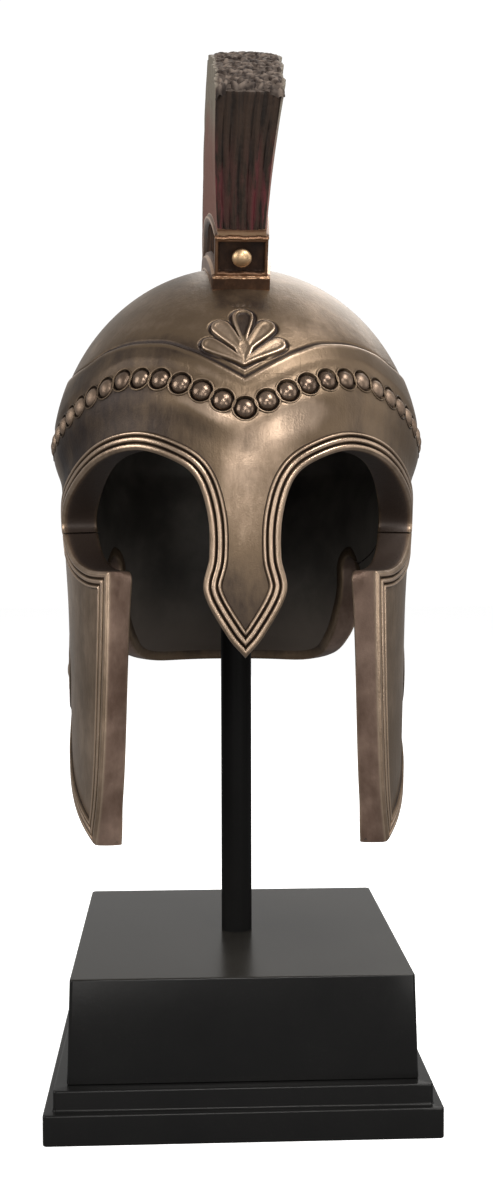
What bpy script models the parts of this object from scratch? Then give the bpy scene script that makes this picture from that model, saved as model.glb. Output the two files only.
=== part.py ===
"""Greek helmet on its display stand, as a half-scale cast copy with a bronze finish.

Shapes are worked out in millimetres and written in metres.  The origin is the
middle of the plinth's underside, +Z is up, the face looks towards -Y and +X is
on the viewer's right.  A place on the helmet is given by its angle, measured
round the stand's rod from the front towards +X, and its height.
"""
import math

import bmesh
import bpy
from mathutils import Matrix, Vector
from mathutils.geometry import tessellate_polygon

MM = 0.001
GAP = 0.3
WELD = 0.002

# ---------------------------------------------------------------- the stand
FOOT_HALF = 47.0
FOOT_HEIGHT = 7.4
STEP_HALF = 44.8
STEP_TOP = 12.3
BLOCK_HALF_BOTTOM = 41.8
BLOCK_HALF_TOP = 41.0
PLINTH_TOP = 37.3
EDGE_ROUNDING = 0.5
ROD_RADIUS = 4.0
ROD_SIDES = 24
ROD_HOLE_DEPTH = 12.0
ROD_TOP = 198.0
BOSS_RADIUS = 8.0
BOSS_BOTTOM = 189.0
BOSS_TOP = 207.0

# ------------------------------------------------------------- the helmet wall
ROUNDNESS = 2.2             # exponent of the wall's level sections: 2 is an ellipse
COLUMNS = 56
DOME_CENTRE = 160.0
DOME_TOP = 210.3
DOME_HALVES = (46.95, 58.5, 60.5)      # side, front, back
INNER_TOP = 205.3
INNER_HALVES = (40.2, 52.9, 55.6)
BROW_STEP = (1.8, 1.5, 1.6)            # how far the face stands back from the brow

WALL = (                   # outer wall below the brow: height, side, front, back
    (60.0, 42.0, 52.0, 60.0),
    (85.0, 42.8, 54.0, 60.0),
    (106.0, 43.2, 55.5, 61.5),
    (112.0, 43.3, 56.0, 58.0),
    (122.0, 43.5, 56.5, 55.2),
    (140.0, 44.4, 56.7, 55.6),
    (150.0, 44.8, 56.7, 57.6),
    (157.0, 45.1, 57.0, 58.9),
)
LINING = (                 # inner wall: height, side, front, back
    (60.0, 37.0, 46.6, 56.4),
    (85.0, 37.7, 48.6, 56.4),
    (106.0, 38.0, 50.2, 57.8),
    (112.0, 38.0, 50.7, 54.2),
    (122.0, 37.8, 51.2, 51.2),
    (140.0, 36.9, 51.5, 51.4),
    (150.0, 37.4, 51.8, 52.4),
    (160.0, 40.2, 52.9, 55.6),
)
WALL_ROWS = (60.0, 74.0, 88.0, 100.0, 105.0, 108.5, 112.5, 118.0, 127.0, 138.0, 149.0)
LINING_ROWS = (60.0, 88.0, 105.0, 109.0, 114.0, 122.0, 140.0, 150.0, 160.0)
DOME_SHARES = (0.13, 0.28, 0.44, 0.60, 0.76, 0.90)
LINING_SHARES = (0.2, 0.42, 0.64, 0.84)

BROW = (                   # angle from the front, bead line, ridge line
    (0.0, 169.8, 176.9),
    (6.0, 172.0, 180.1),
    (13.0, 175.0, 183.3),
    (22.0, 177.0, 185.8),
    (30.0, 177.3, 186.2),
    (41.0, 174.6, 185.2),
    (52.0, 171.0, 182.6),
    (66.0, 166.7, 181.4),
    (80.0, 164.3, 181.0),
    (100.0, 163.3, 180.5),
    (180.0, 163.0, 180.0),
)
STEP_FOOT = 6.0            # how far under the bead line the wall starts to step out
BEAD_ROWS = (              # from the bead line: rise, depth of the channel
    (-3.1, 0.0),
    (-2.4, 2.1),
    (0.0, 2.6),
    (2.4, 2.1),
    (3.1, 0.0),
)
RIDGE_ROWS = (             # share of the way to the ridge line, how proud
    (0.45, 0.6),
    (0.92, 0.6),
    (1.0, -0.3),
)

# ---------------------------------------------------------------- free edges
FACE_EDGE = (              # right half of the face opening: x, height
    (0.0, 114.4),
    (4.2, 119.4),
    (9.2, 129.0),
    (8.0, 137.0),
    (8.3, 146.0),
    (10.9, 154.2),
    (16.0, 158.4),
    (24.5, 161.0),
    (33.4, 158.7),
    (40.9, 151.4),
    (43.2, 144.5),
    (40.7, 137.4),
    (36.4, 133.9),
)
CHEEK_FRONT = (            # top corner and front edge of the cheek piece: x, height
    (30.8, 133.3),
    (31.4, 115.0),
    (32.3, 95.0),
    (33.4, 79.0),
    (35.0, 67.3),
)
CHEEK_TIP = (-32.1, 67.3)
CHEEK_REAR = (             # lower and rear edge of the cheek piece: y, height
    CHEEK_TIP,
    (-20.0, 73.6),
    (-8.0, 81.0),
    (4.0, 89.6),
    (12.5, 100.0),
    (18.0, 113.0),
    (21.0, 131.5),
)
NOTCH_CENTRE = (25.5, 131.5)
NOTCH_RADIUS = 4.5
GUARD_CORNER = (57.1, 131.5)
GUARD_CORNER_RADIUS = 27.1
GUARD_BOTTOM = 104.4
GUARD_ANGLES = (165.0, 172.5, 180.0)
MOULDING_WIDTH = 4.3
MOULDING_HEIGHT = 0.8
MOULDING_ROOT = 1.5
OVERHANG = 1.2             # how far the moulding first reaches into the opening
TIP_SHARE = 0.9
SEAM_FRONT = (-17.0, 142.4)
SEAM_BACK = (26.0, 133.6)
CUT_CENTRE_Y = -22.0       # the face opening is cut along lines through this centre

# ----------------------------------------------------------------- ornament
BEAD_RADIUS = 2.35
BEAD_HALF_HEIGHT = 1.35
BEAD_PITCH = 5.35
BEADS_PER_SIDE = 18
BEAD_PROUD = -0.75
CHANNEL_END = 108.0
CHANNEL_FADE = 7.0
PETALS = (                 # lean from upright, length, breadth
    (0.0, 17.0, 4.6),
    (26.0, 14.4, 4.2),
    (52.0, 11.6, 4.0),
)
PALMETTE_ROOT = 179.4
PETAL_THICKNESS = 2.6
MEDALLION = (-3.0, 107.0)  # y and height of its middle
MEDALLION_TURN = 4.0
MEDALLION_RINGS = (        # radius, lobe depth, height above the cheek
    (10.0, 0.0, -1.6),
    (10.0, 0.0, 0.6),
    (8.9, 0.0, 0.6),
    (8.6, 0.0, 0.2),
    (6.6, 1.2, 0.2),
    (6.2, 1.2, 0.7),
    (2.7, 0.0, 0.5),
    (2.5, 0.0, 0.9),
    (1.2, 0.0, 1.2),
)
LOBES = 8

# -------------------------------------------------------------------- crest
CREST_START = 52.5         # angles on the dome's middle line, up from the front
CREST_END = 176.0
HOLDER_STATIONS = 22
HOLDER_HALF_WIDTHS = ((52.5, 6.2), (90.0, 8.0), (140.0, 8.0), (176.0, 6.8))
PLUME_TOP_HALF_WIDTHS = ((52.5, 7.8), (90.0, 8.4), (140.0, 8.4), (176.0, 7.2))
HOLDER_HEIGHT = 13.6
FLANGE_HEIGHT = 3.0
FLANGE_OUT = 0.7
PANEL_SIZE = (10.6, 7.5)
PANEL_DEPTH = 1.0
PANEL_RISE = 7.5
RIVET_RADIUS = 2.35
PLUME_TOP = 262.6
PLUME_HALVES = (79.4, 90.0)            # reach towards the front and the back
PLUME_LOCKS = 17
PLUME_INSET = 0.5
PLUME_LEAN = 1.6
LOCK_DEPTH = 0.7
FRONT_LOCKS = 6

BRONZE = (0.20, 0.145, 0.10)
BLACK = (0.012, 0.011, 0.010)
GOLD = (0.50, 0.33, 0.17)
PLUME_BROWN = (0.055, 0.024, 0.020)


# ================================================================== helpers
def clear_scene():
    """Remove whatever the scene holds."""
    for old in list(bpy.data.objects):
        bpy.data.objects.remove(old, do_unlink=True)


def new_collection(name):
    """Return a fresh collection linked to the scene."""
    collection = bpy.data.collections.new(name)
    bpy.context.scene.collection.children.link(collection)
    return collection


def make_material(name, colour, roughness, metallic):
    """Return a Principled material of one colour."""
    material = bpy.data.materials.new(name)
    material.use_nodes = True
    shader = material.node_tree.nodes["Principled BSDF"]
    shader.inputs["Base Color"].default_value = (*colour, 1.0)
    shader.inputs["Roughness"].default_value = roughness
    shader.inputs["Metallic"].default_value = metallic
    return material


def link_mesh(name, mesh, collection, material=None):
    """Put a mesh into the scene as one named object, shaded smooth with sharp edges."""
    thing = bpy.data.objects.new(name, mesh)
    collection.objects.link(thing)
    if material and not mesh.materials:
        mesh.materials.append(material)
    mesh.shade_smooth()
    mesh.set_sharp_from_angle(angle=math.radians(35.0))
    if collection.name == CUTTERS.name:
        thing.hide_render = True
        thing.display_type = "WIRE"
    return thing


def solid(name, points, faces, collection, material=None):
    """Make an object from points in millimetres, with its faces turned outwards."""
    mesh = bpy.data.meshes.new(name)
    mesh.from_pydata([Vector(p) * MM for p in points], [], faces)
    shape = bmesh.new()
    shape.from_mesh(mesh)
    bmesh.ops.recalc_face_normals(shape, faces=shape.faces)
    shape.to_mesh(mesh)
    shape.free()
    return link_mesh(name, mesh, collection, material)


def bmesh_solid(name, shape, collection, material=None):
    """Make an object from a bmesh in millimetres."""
    bmesh.ops.scale(shape, vec=(MM, MM, MM), verts=shape.verts)
    mesh = bpy.data.meshes.new(name)
    shape.to_mesh(mesh)
    shape.free()
    return link_mesh(name, mesh, collection, material)


def ring_faces(ring_count, size, wrap=False):
    """Quads that join each ring of points to the next, and the last to the first if wrapped."""
    faces = []
    for row in range(ring_count if wrap else ring_count - 1):
        lower = row * size
        upper = ((row + 1) % ring_count) * size
        for i in range(size):
            j = (i + 1) % size
            faces.append((lower + i, lower + j, upper + j, upper + i))
    return faces


def loft(name, rings, collection, material=None):
    """Join rings of equal size into a closed solid with a flat cap at each end."""
    size = len(rings[0])
    faces = ring_faces(len(rings), size)
    last = (len(rings) - 1) * size
    faces.append(tuple(range(size - 1, -1, -1)))
    faces.append(tuple(range(last, last + size)))
    return solid(name, [p for ring in rings for p in ring], faces, collection, material)


def outline_prism(name, near, far, flat):
    """Join two copies of an outline, and fill each with triangles seen flat in a plane."""
    size = len(near)
    faces = ring_faces(2, size)
    for triangle in tessellate_polygon([[flat(p) for p in near]]):
        faces.append(tuple(triangle))
        faces.append(tuple(size + i for i in reversed(triangle)))
    return solid(name, list(near) + list(far), faces, CUTTERS)


def boolean(target, cutter, operation, use_self=False):
    """Add a Boolean modifier that takes a cutter."""
    modifier = target.modifiers.new(operation.title(), "BOOLEAN")
    modifier.operation = operation
    modifier.object = cutter
    modifier.solver = "EXACT"
    modifier.use_self = use_self


def bake(thing, name, collection, material=None):
    """Return a new object that holds the mesh of a thing as its modifiers leave it."""
    graph = bpy.context.evaluated_depsgraph_get()
    mesh = bpy.data.meshes.new_from_object(thing.evaluated_get(graph))
    keep_largest_body(mesh)
    return link_mesh(name, mesh, collection, material)


def keep_largest_body(mesh):
    """Merge doubled points and drop the crumbs that a Boolean can leave beside the body."""
    shape = bmesh.new()
    shape.from_mesh(mesh)
    bmesh.ops.remove_doubles(shape, verts=shape.verts, dist=WELD * MM)
    bmesh.ops.dissolve_degenerate(shape, edges=shape.edges, dist=WELD * MM)
    unseen = set(shape.verts)
    bodies = []
    while unseen:
        front = [unseen.pop()]
        body = list(front)
        while front:
            near = {edge.other_vert(vert) for vert in front for edge in vert.link_edges}
            front = list(near & unseen)
            unseen -= near
            body += front
        bodies.append(body)
    bodies.sort(key=len)
    for crumb in bodies[:-1]:
        bmesh.ops.delete(shape, geom=crumb, context="VERTS")
    shape.to_mesh(mesh)
    shape.free()


def combined(thing, cutter, operation):
    """Return the baked result of one Boolean."""
    boolean(thing, cutter, operation)
    return bake(thing, thing.name + "_" + cutter.name, CUTTERS)


def read(rows, key, column):
    """Read a table at a key by a smooth curve through its rows, without overshoot."""
    keys = [row[0] for row in rows]
    key = min(max(key, keys[0]), keys[-1])
    i = max(k for k in range(len(rows) - 1) if keys[k] <= key)
    slopes = [(rows[k + 1][column] - rows[k][column]) / (keys[k + 1] - keys[k])
              for k in range(len(rows) - 1)]

    def knot_slope(k):
        if k == 0 or k == len(slopes):
            return slopes[min(k, len(slopes) - 1)]
        before, after = slopes[k - 1], slopes[k]
        return 0.0 if before * after <= 0.0 else 2.0 * before * after / (before + after)

    span = keys[i + 1] - keys[i]
    t = (key - keys[i]) / span
    a, b = rows[i][column], rows[i + 1][column]
    rise = 3.0 * t * t - 2.0 * t * t * t
    lead = t * (1.0 - t) ** 2 * span * knot_slope(i)
    trail = t * t * (t - 1.0) * span * knot_slope(i + 1)
    return a + (b - a) * rise + lead + trail


def curve_through(knots, steps):
    """Points of a Catmull-Rom curve through the knots, with some steps in each span."""
    ends = [2 * Vector(knots[0]) - Vector(knots[1]), 2 * Vector(knots[-1]) - Vector(knots[-2])]
    k = [ends[0]] + [Vector(p) for p in knots] + [ends[1]]
    points = []
    for i in range(1, len(k) - 2):
        for step in range(steps):
            t = step / steps
            points.append(0.5 * (2 * k[i] + (k[i + 1] - k[i - 1]) * t
                                 + (2 * k[i - 1] - 5 * k[i] + 4 * k[i + 1] - k[i + 2]) * t * t
                                 + (3 * k[i] - k[i - 1] - 3 * k[i + 1] + k[i + 2]) * t ** 3))
    points.append(k[-2])
    return points


# ============================================================ helmet surfaces
def dome_share(height, top):
    """How wide an ellipsoid dome still is at a height, as a share of its full width."""
    rise = max(height - DOME_CENTRE, 0.0) / (top - DOME_CENTRE)
    return math.sqrt(max(1.0 - rise * rise, 0.0))


def face_level(height):
    """Side, front and back reach of the outer wall below the brow."""
    if height <= WALL[-1][0]:
        return [read(WALL, height, column) for column in (1, 2, 3)]
    share = dome_share(height, DOME_TOP)
    return [(half - step) * share for half, step in zip(DOME_HALVES, BROW_STEP)]


def dome_level(height):
    """Side, front and back reach of the outer wall from the brow up."""
    share = dome_share(height, DOME_TOP)
    return [half * share for half in DOME_HALVES]


def lining_level(height):
    """Side, front and back reach of the inner wall."""
    if height <= DOME_CENTRE:
        return [read(LINING, height, column) for column in (1, 2, 3)]
    share = dome_share(height, INNER_TOP)
    return [half * share for half in INNER_HALVES]


def level_radius(level, angle):
    """Distance from the rod to a level section, a superellipse with unlike front and back."""
    side, front, back = level
    reach = front if math.cos(angle) > 0.0 else back
    across = abs(math.sin(angle)) / side
    along = abs(math.cos(angle)) / reach
    return (across ** ROUNDNESS + along ** ROUNDNESS) ** (-1.0 / ROUNDNESS)


def place(level, angle, height, proud=0.0):
    """Point of a level section at an angle, moved straight out from the rod."""
    radius = level_radius(level, angle) + proud
    across = round(radius * math.sin(angle), 6)
    return Vector((across, -radius * math.cos(angle), height))


def brow_line(angle, column):
    """Height of the bead line (column 1) or the ridge line (column 2)."""
    return read(BROW, abs(math.degrees(angle)), column)


def face_normal(angle, height):
    """Outward direction of the wall below the brow."""
    step = 0.01
    here = place(face_level(height), angle, height)
    along = place(face_level(height), angle + step, height) - here
    rise = place(face_level(height + step), angle, height + step) - here
    return along.cross(rise).normalized()


def on_face(point):
    """Angle and height of a point."""
    return math.atan2(point.x, -point.y), point.z


def from_front(x, height):
    """Point of the outer wall that is seen from the front at x and a height."""
    side, front, _ = face_level(height)
    share = 1.0 - (abs(x) / side) ** ROUNDNESS
    return Vector((x, -front * share ** (1.0 / ROUNDNESS), height))


def from_side(y, height):
    """Point of the outer wall on the +X side that is seen from the side at y and a height."""
    side, front, back = face_level(height)
    share = 1.0 - (abs(y) / (front if y < 0.0 else back)) ** ROUNDNESS
    return Vector((side * share ** (1.0 / ROUNDNESS), y, height))


def column_angles():
    """Angles of the wall's columns, once round."""
    return [2.0 * math.pi * i / COLUMNS - math.pi for i in range(COLUMNS)]


def bead_channel(angle):
    """One where the bead row runs, fading to nothing behind the ears."""
    past = (abs(math.degrees(angle)) - CHANNEL_END) / CHANNEL_FADE
    return 1.0 - min(max(past, 0.0), 1.0)


def outer_rows():
    """Rings of the outer wall, from the bottom up to just below the top of the dome."""
    angles = column_angles()
    rows = [[place(face_level(z), a, z) for a in angles] for z in WALL_ROWS]
    foot = [brow_line(a, 1) - STEP_FOOT for a in angles]
    halfway = [(z + WALL_ROWS[-1]) / 2.0 for z in foot]
    for heights in (halfway, foot):
        rows.append([place(face_level(z), a, z) for a, z in zip(angles, heights)])
    for rise, depth in BEAD_ROWS:
        heights = [brow_line(a, 1) + rise for a in angles]
        rows.append([place(dome_level(z), a, z, -depth * bead_channel(a))
                     for a, z in zip(angles, heights)])
    for share, proud in RIDGE_ROWS:
        starts = [brow_line(a, 1) + BEAD_ROWS[-1][0] for a in angles]
        heights = [z + (brow_line(a, 2) - z) * share for a, z in zip(angles, starts)]
        rows.append([place(dome_level(z), a, z, proud * bead_channel(a))
                     for a, z in zip(angles, heights)])
    for share in DOME_SHARES:
        rows.append([dome_row_point(a, share) for a in angles])
    return rows


def dome_row_point(angle, share):
    """Point a share of the way up the dome's arc from the ridge line to the top."""
    start = math.asin((brow_line(angle, 2) - DOME_CENTRE) / (DOME_TOP - DOME_CENTRE))
    climb = start + (math.pi / 2.0 - start) * share
    height = DOME_CENTRE + (DOME_TOP - DOME_CENTRE) * math.sin(climb)
    return place(dome_level(height), angle, height)


def lining_rows():
    """Rings of the inner wall, from the bottom up to just below its top."""
    heights = list(LINING_ROWS)
    for share in LINING_SHARES:
        heights.append(DOME_CENTRE + (INNER_TOP - DOME_CENTRE) * math.sin(share * math.pi / 2.0))
    return [[place(lining_level(z), a, z) for a in column_angles()] for z in heights]


def make_bell():
    """Closed wall of the whole helmet before its openings are cut."""
    rows = list(reversed(lining_rows())) + outer_rows()
    points = [p for row in rows for p in row]
    faces = ring_faces(len(rows), COLUMNS)
    inner_top, outer_top = len(points), len(points) + 1
    points += [Vector((0.0, 0.0, INNER_TOP)), Vector((0.0, 0.0, DOME_TOP))]
    last = (len(rows) - 1) * COLUMNS
    for i in range(COLUMNS):
        j = (i + 1) % COLUMNS
        faces.append((j, i, inner_top))
        faces.append((last + i, last + j, outer_top))
    return solid("bell", points, faces, CUTTERS)


# ================================================================ free edges
def arc(centre, radius, start, end, steps):
    """Points of an arc in a plane, angles in degrees."""
    points = []
    for step in range(steps + 1):
        angle = math.radians(start + (end - start) * step / steps)
        points.append(Vector((centre[0] + radius * math.cos(angle),
                              centre[1] + radius * math.sin(angle))))
    return points


def face_outline():
    """Right half of the face opening, from the nose tip down to the cheek tip: x, height."""
    return curve_through(FACE_EDGE, 3) + [Vector(p) for p in CHEEK_FRONT]


def side_outline():
    """Lower edge behind the cheek tip, to where the neck guard's straight edge starts."""
    rear = curve_through(CHEEK_REAR, 2)[:-1]
    notch = arc(NOTCH_CENTRE, NOTCH_RADIUS, 180.0, 0.0, 8)[:-1]
    corner = arc(GUARD_CORNER, GUARD_CORNER_RADIUS, 180.0, 270.0, 9)
    return rear + notch + corner


def edge_path():
    """Right half of the free edge on the outer wall, from nose tip to nape."""
    path = [from_front(x, z) for x, z in face_outline()]
    path += [from_side(y, z) for y, z in side_outline()[1:]]
    for degrees in GUARD_ANGLES:
        angle = math.radians(degrees)
        path.append(place(face_level(GUARD_BOTTOM), angle, GUARD_BOTTOM))
    return path


def mirrored(point):
    """The same point on the other side of the helmet."""
    return Vector((-point.x, point.y, point.z))


def into_wall(path, i):
    """Direction from an edge point into the wall, stretched at corners to keep the width."""
    before = path[i - 1] if i > 0 else mirrored(path[1])
    after = path[i + 1] if i + 1 < len(path) else mirrored(path[-2])
    normal = face_normal(*on_face(path[i]))
    first = normal.cross(path[i] - before).normalized()
    second = normal.cross(after - path[i]).normalized()
    middle = (first + second).normalized()
    return middle / max(middle.dot(first), 0.4)


def border_width(path, i):
    """Width of the moulding, less near the nose tip, where its two sides meet."""
    i = max(i, 1)
    direction = into_wall(path, i)
    if direction.x >= 0.0 or path[i].y > 0.0:
        return MOULDING_WIDTH
    return min(MOULDING_WIDTH, TIP_SHARE * path[i].x / -direction.x)


def moulding_section(path, i):
    """Four corners of the moulding at an edge point: it overhangs the opening a little."""
    direction = into_wall(path, i)
    width = border_width(path, i)
    corners = []
    for across, proud in ((-OVERHANG, -MOULDING_ROOT), (-OVERHANG, MOULDING_HEIGHT),
                          (width, MOULDING_HEIGHT), (width, -MOULDING_ROOT)):
        point = path[i] + direction * across
        if i in (0, len(path) - 1):
            point.x = 0.0
        angle, height = on_face(point)
        corners.append(place(face_level(height), angle, height, proud))
    return corners


def make_moulding():
    """Raised border round every free edge, as one closed loop."""
    path = edge_path()
    right = [moulding_section(path, i) for i in range(len(path))]
    left = [[mirrored(p) for p in section] for section in reversed(right[1:-1])]
    rings = right + left
    faces = ring_faces(len(rings), 4, wrap=True)
    return solid("moulding", [p for ring in rings for p in ring], faces, CUTTERS)


def make_face_cutter():
    """Solid of the face opening, cut square to the wall by lines from a centre."""
    below = 52.0
    right = [from_front(x, z) for x, z in face_outline()]
    right.append(Vector((right[-1].x + 1.0, right[-1].y, below)))
    left = [mirrored(p) for p in reversed(right[1:])]
    outline = right + left
    centre = Vector((0.0, CUT_CENTRE_Y, 0.0))

    def moved(point, share):
        flat = Vector((point.x, point.y, 0.0))
        spot = centre + (flat - centre) * share
        return Vector((spot.x, spot.y, point.z))

    near = [moved(p, 0.5) for p in outline]
    far = [moved(p, 1.4) for p in outline]
    return outline_prism("face_opening", near, far, lambda p: Vector((p.x, p.z, 0.0)))


def make_side_cutter():
    """Solid below the cheek pieces, ear notches and neck guard, straight across."""
    outline = [Vector((-90.0, 40.0)), Vector((-90.0, 60.0))] + side_outline()
    outline += [Vector((90.0, GUARD_BOTTOM)), Vector((90.0, 40.0))]
    near = [Vector((-80.0, p.x, p.y)) for p in outline]
    far = [Vector((80.0, p.x, p.y)) for p in outline]
    return outline_prism("side_profile", near, far, lambda p: Vector((p.y, p.z, 0.0)))


def seam_height(y):
    """Height of the joint between the skull and a cheek piece."""
    slope = (SEAM_BACK[1] - SEAM_FRONT[1]) / (SEAM_BACK[0] - SEAM_FRONT[0])
    return SEAM_FRONT[1] + slope * (y - SEAM_FRONT[0])


def make_cheek_zone(name, side, drop):
    """Solid that holds one cheek piece, its top on the sloping joint."""
    front, back, low = -80.0, NOTCH_CENTRE[0], 40.0
    outline = ((front, low), (front, seam_height(front) - drop),
               (back, seam_height(back) - drop), (back, low))
    near = [Vector((side * 14.0, y, z)) for y, z in outline]
    far = [Vector((side * 80.0, y, z)) for y, z in outline]
    return outline_prism(name, near, far, lambda p: Vector((p.y, p.z, 0.0)))


# ================================================================== ornament
def dome_frame(angle, height):
    """Place on the dome with its outward, sideways and uphill directions."""
    step = 0.01
    here = place(dome_level(height), angle, height)
    along = (place(dome_level(height), angle + step, height) - here).normalized()
    rise = place(dome_level(height + step), angle, height + step) - here
    outward = along.cross(rise).normalized()
    return here, outward, along, outward.cross(along)


def make_petals():
    """Five leaf-shaped petals that fan out on the forehead."""
    petals = []
    root, outward, along, uphill = dome_frame(0.0, PALMETTE_ROOT)
    fan = [(-lean, length, breadth) for lean, length, breadth in PETALS[1:]] + list(PETALS)
    for lean, length, breadth in fan:
        shape = bmesh.new()
        turn = math.radians(lean)
        axis = along * math.sin(turn) + uphill * math.cos(turn)
        seat = root + axis * (length / 2.0)
        angle, height = on_face(seat)
        seat, normal, _, _ = dome_frame(angle, height)
        axis = (axis - normal * axis.dot(normal)).normalized()
        cross = axis.cross(normal)
        frame = Matrix((cross, axis, normal)).transposed().to_4x4()
        sizes = Matrix.Diagonal((breadth / 2.0, length / 2.0, PETAL_THICKNESS / 2.0, 1.0))
        bmesh.ops.create_uvsphere(shape, u_segments=8, v_segments=6, radius=1.0,
                                  matrix=Matrix.Translation(seat) @ frame @ sizes)
        petals.append(bmesh_solid("petal", shape, CUTTERS))
    return petals


def make_medallion(side):
    """Eight-lobed rosette in a round border on the flank of a cheek piece."""
    y, height = MEDALLION
    seat = from_side(y, height)
    turn = math.radians(MEDALLION_TURN)
    outward = Vector((math.cos(turn), -math.sin(turn), 0.0))
    along = Vector((math.sin(turn), math.cos(turn), 0.0))
    count = 3 * LOBES
    rings = []
    for radius, lobe, proud in MEDALLION_RINGS:
        ring = []
        for i in range(count):
            angle = 2.0 * math.pi * i / count
            reach = radius + lobe * (math.cos(LOBES * angle) - 1.0) / 1.5
            spot = seat + outward * proud + along * (reach * math.cos(angle))
            spot.z += reach * math.sin(angle)
            ring.append(Vector((side * spot.x, spot.y, spot.z)))
        rings.append(ring)
    return loft("medallion", rings, CUTTERS)


def bead_angles():
    """Angles of the beads on the right, stepped by the pitch along the bead line."""
    fine = math.radians(0.1)

    def spot(angle):
        height = brow_line(angle, 1)
        return place(dome_level(height), angle, height)

    angles = [0.0]
    angle, run = 0.0, 0.0
    while len(angles) <= BEADS_PER_SIDE:
        run += (spot(angle + fine) - spot(angle)).length
        angle += fine
        if run >= BEAD_PITCH:
            angles.append(angle)
            run -= BEAD_PITCH
    return angles


# ===================================================================== crest
def crest_frame(degrees):
    """Point of the dome's middle line at an angle up from the front, and its outward direction."""
    angle = math.radians(degrees)
    reach = DOME_HALVES[1] if degrees <= 90.0 else DOME_HALVES[2]
    rise = DOME_TOP - DOME_CENTRE
    point = Vector((0.0, -reach * math.cos(angle), DOME_CENTRE + rise * math.sin(angle)))
    outward = Vector((0.0, -math.cos(angle) / reach, math.sin(angle) / rise))
    return point, outward.normalized()


def in_dome(point):
    """True where a point lies within the dome's smooth outer surface."""
    angle, height = on_face(point)
    reach = level_radius(DOME_HALVES, angle) * dome_share(height, DOME_TOP)
    return point.xy.length < reach


def holder_foot(x, degrees):
    """Point just clear of the dome, x to one side of its middle line."""
    foot, outward = crest_frame(degrees)
    foot.x = x
    low, high = -20.0, 5.0
    for _ in range(30):
        middle = (low + high) / 2.0
        low, high = (middle, high) if in_dome(foot + outward * middle) else (low, middle)
    return foot + outward * (low + GAP + 0.1)


def holder_half(degrees):
    """Half the width of the crest holder."""
    return read(HOLDER_HALF_WIDTHS, degrees, 1)


def holder_section(degrees):
    """Outline of the crest holder: a curved foot, a flange and straight sides."""
    foot, outward = crest_frame(degrees)
    half = holder_half(degrees)
    wide = half + FLANGE_OUT
    corners = [(wide, FLANGE_HEIGHT), (half, FLANGE_HEIGHT),
               (half, HOLDER_HEIGHT), (-half, HOLDER_HEIGHT),
               (-half, FLANGE_HEIGHT), (-wide, FLANGE_HEIGHT)]
    underside = [holder_foot(wide * share, degrees) for share in (-1.0, -0.5, 0.0, 0.5, 1.0)]
    return underside + [foot + outward * up + Vector((x, 0.0, 0.0)) for x, up in corners]


def spread(start, end, count):
    """Evenly spaced values, both ends included."""
    return [start + (end - start) * i / (count - 1) for i in range(count)]


def end_face_frame():
    """Middle of the holder's front face at its foot, its forward and its upward direction."""
    foot, up = crest_frame(CREST_START)
    forward = Vector((1.0, 0.0, 0.0)).cross(up)
    if forward.y > 0.0:
        forward = -forward
    return foot, forward, up


def make_crest_holder():
    """Curved holder over the dome, with a sunk panel in its front face."""
    rings = [holder_section(a) for a in spread(CREST_START, CREST_END, HOLDER_STATIONS)]
    holder = loft("crest_holder", rings, PARTS, BRONZE_MATERIAL)
    foot, forward, up = end_face_frame()
    frame = Matrix((Vector((1.0, 0.0, 0.0)), up, forward)).transposed().to_4x4()
    middle = foot + up * PANEL_RISE
    shape = bmesh.new()
    size = Matrix.Diagonal((PANEL_SIZE[0], PANEL_SIZE[1], 2.0 * PANEL_DEPTH, 1.0))
    bmesh.ops.create_cube(shape, size=1.0, matrix=Matrix.Translation(middle) @ frame @ size)
    bmesh.ops.recalc_face_normals(shape, faces=shape.faces)
    boolean(holder, bmesh_solid("front_panel", shape, CUTTERS), "DIFFERENCE")
    return holder


def make_crest_rivet():
    """Round-headed rivet in the middle of the sunk panel."""
    foot, forward, up = end_face_frame()
    seat = foot + up * PANEL_RISE + forward * (RIVET_RADIUS * 0.8 + GAP - PANEL_DEPTH)
    frame = Matrix((Vector((1.0, 0.0, 0.0)), up, forward)).transposed().to_4x4()
    size = Matrix.Diagonal((1.0, 1.0, 0.8, 1.0))
    shape = bmesh.new()
    bmesh.ops.create_uvsphere(shape, u_segments=12, v_segments=8, radius=RIVET_RADIUS,
                              matrix=Matrix.Translation(seat) @ frame @ size)
    bmesh.ops.recalc_face_normals(shape, faces=shape.faces)
    return bmesh_solid("crest_rivet", shape, PARTS, GOLD_MATERIAL)


def plume_tip(degrees):
    """Point of the plume's outer edge over a place on the holder."""
    angle = math.radians(degrees)
    reach = PLUME_HALVES[0] if degrees <= 90.0 else PLUME_HALVES[1]
    rise = PLUME_TOP - DOME_CENTRE
    return Vector((0.0, -reach * math.cos(angle), DOME_CENTRE + rise * math.sin(angle)))


def plume_section(degrees, ridge):
    """Outline of the plume across one place: narrow at the foot and wider at the cut ends."""
    foot, outward = crest_frame(degrees)
    base = foot + outward * (HOLDER_HEIGHT + GAP)
    tip = plume_tip(degrees)
    low_half = holder_half(degrees) - PLUME_INSET - LOCK_DEPTH / 2.0
    top_half = read(PLUME_TOP_HALF_WIDTHS, degrees, 1) - LOCK_DEPTH / 2.0
    points = []
    for x_sign, share in ((-1, 0.0), (-1, 0.5), (-1, 1.0), (0, 1.0), (1, 1.0), (1, 0.5), (1, 0.0)):
        middle = base.lerp(tip, share)
        half = low_half + (top_half - low_half) * share
        x = x_sign * (half + ridge * LOCK_DEPTH / 2.0) + PLUME_LEAN * share ** 2
        lift = ridge * LOCK_DEPTH if share == 1.0 else 0.0
        points.append(middle + outward * lift + Vector((x, 0.0, 0.0)))
    return points


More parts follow.
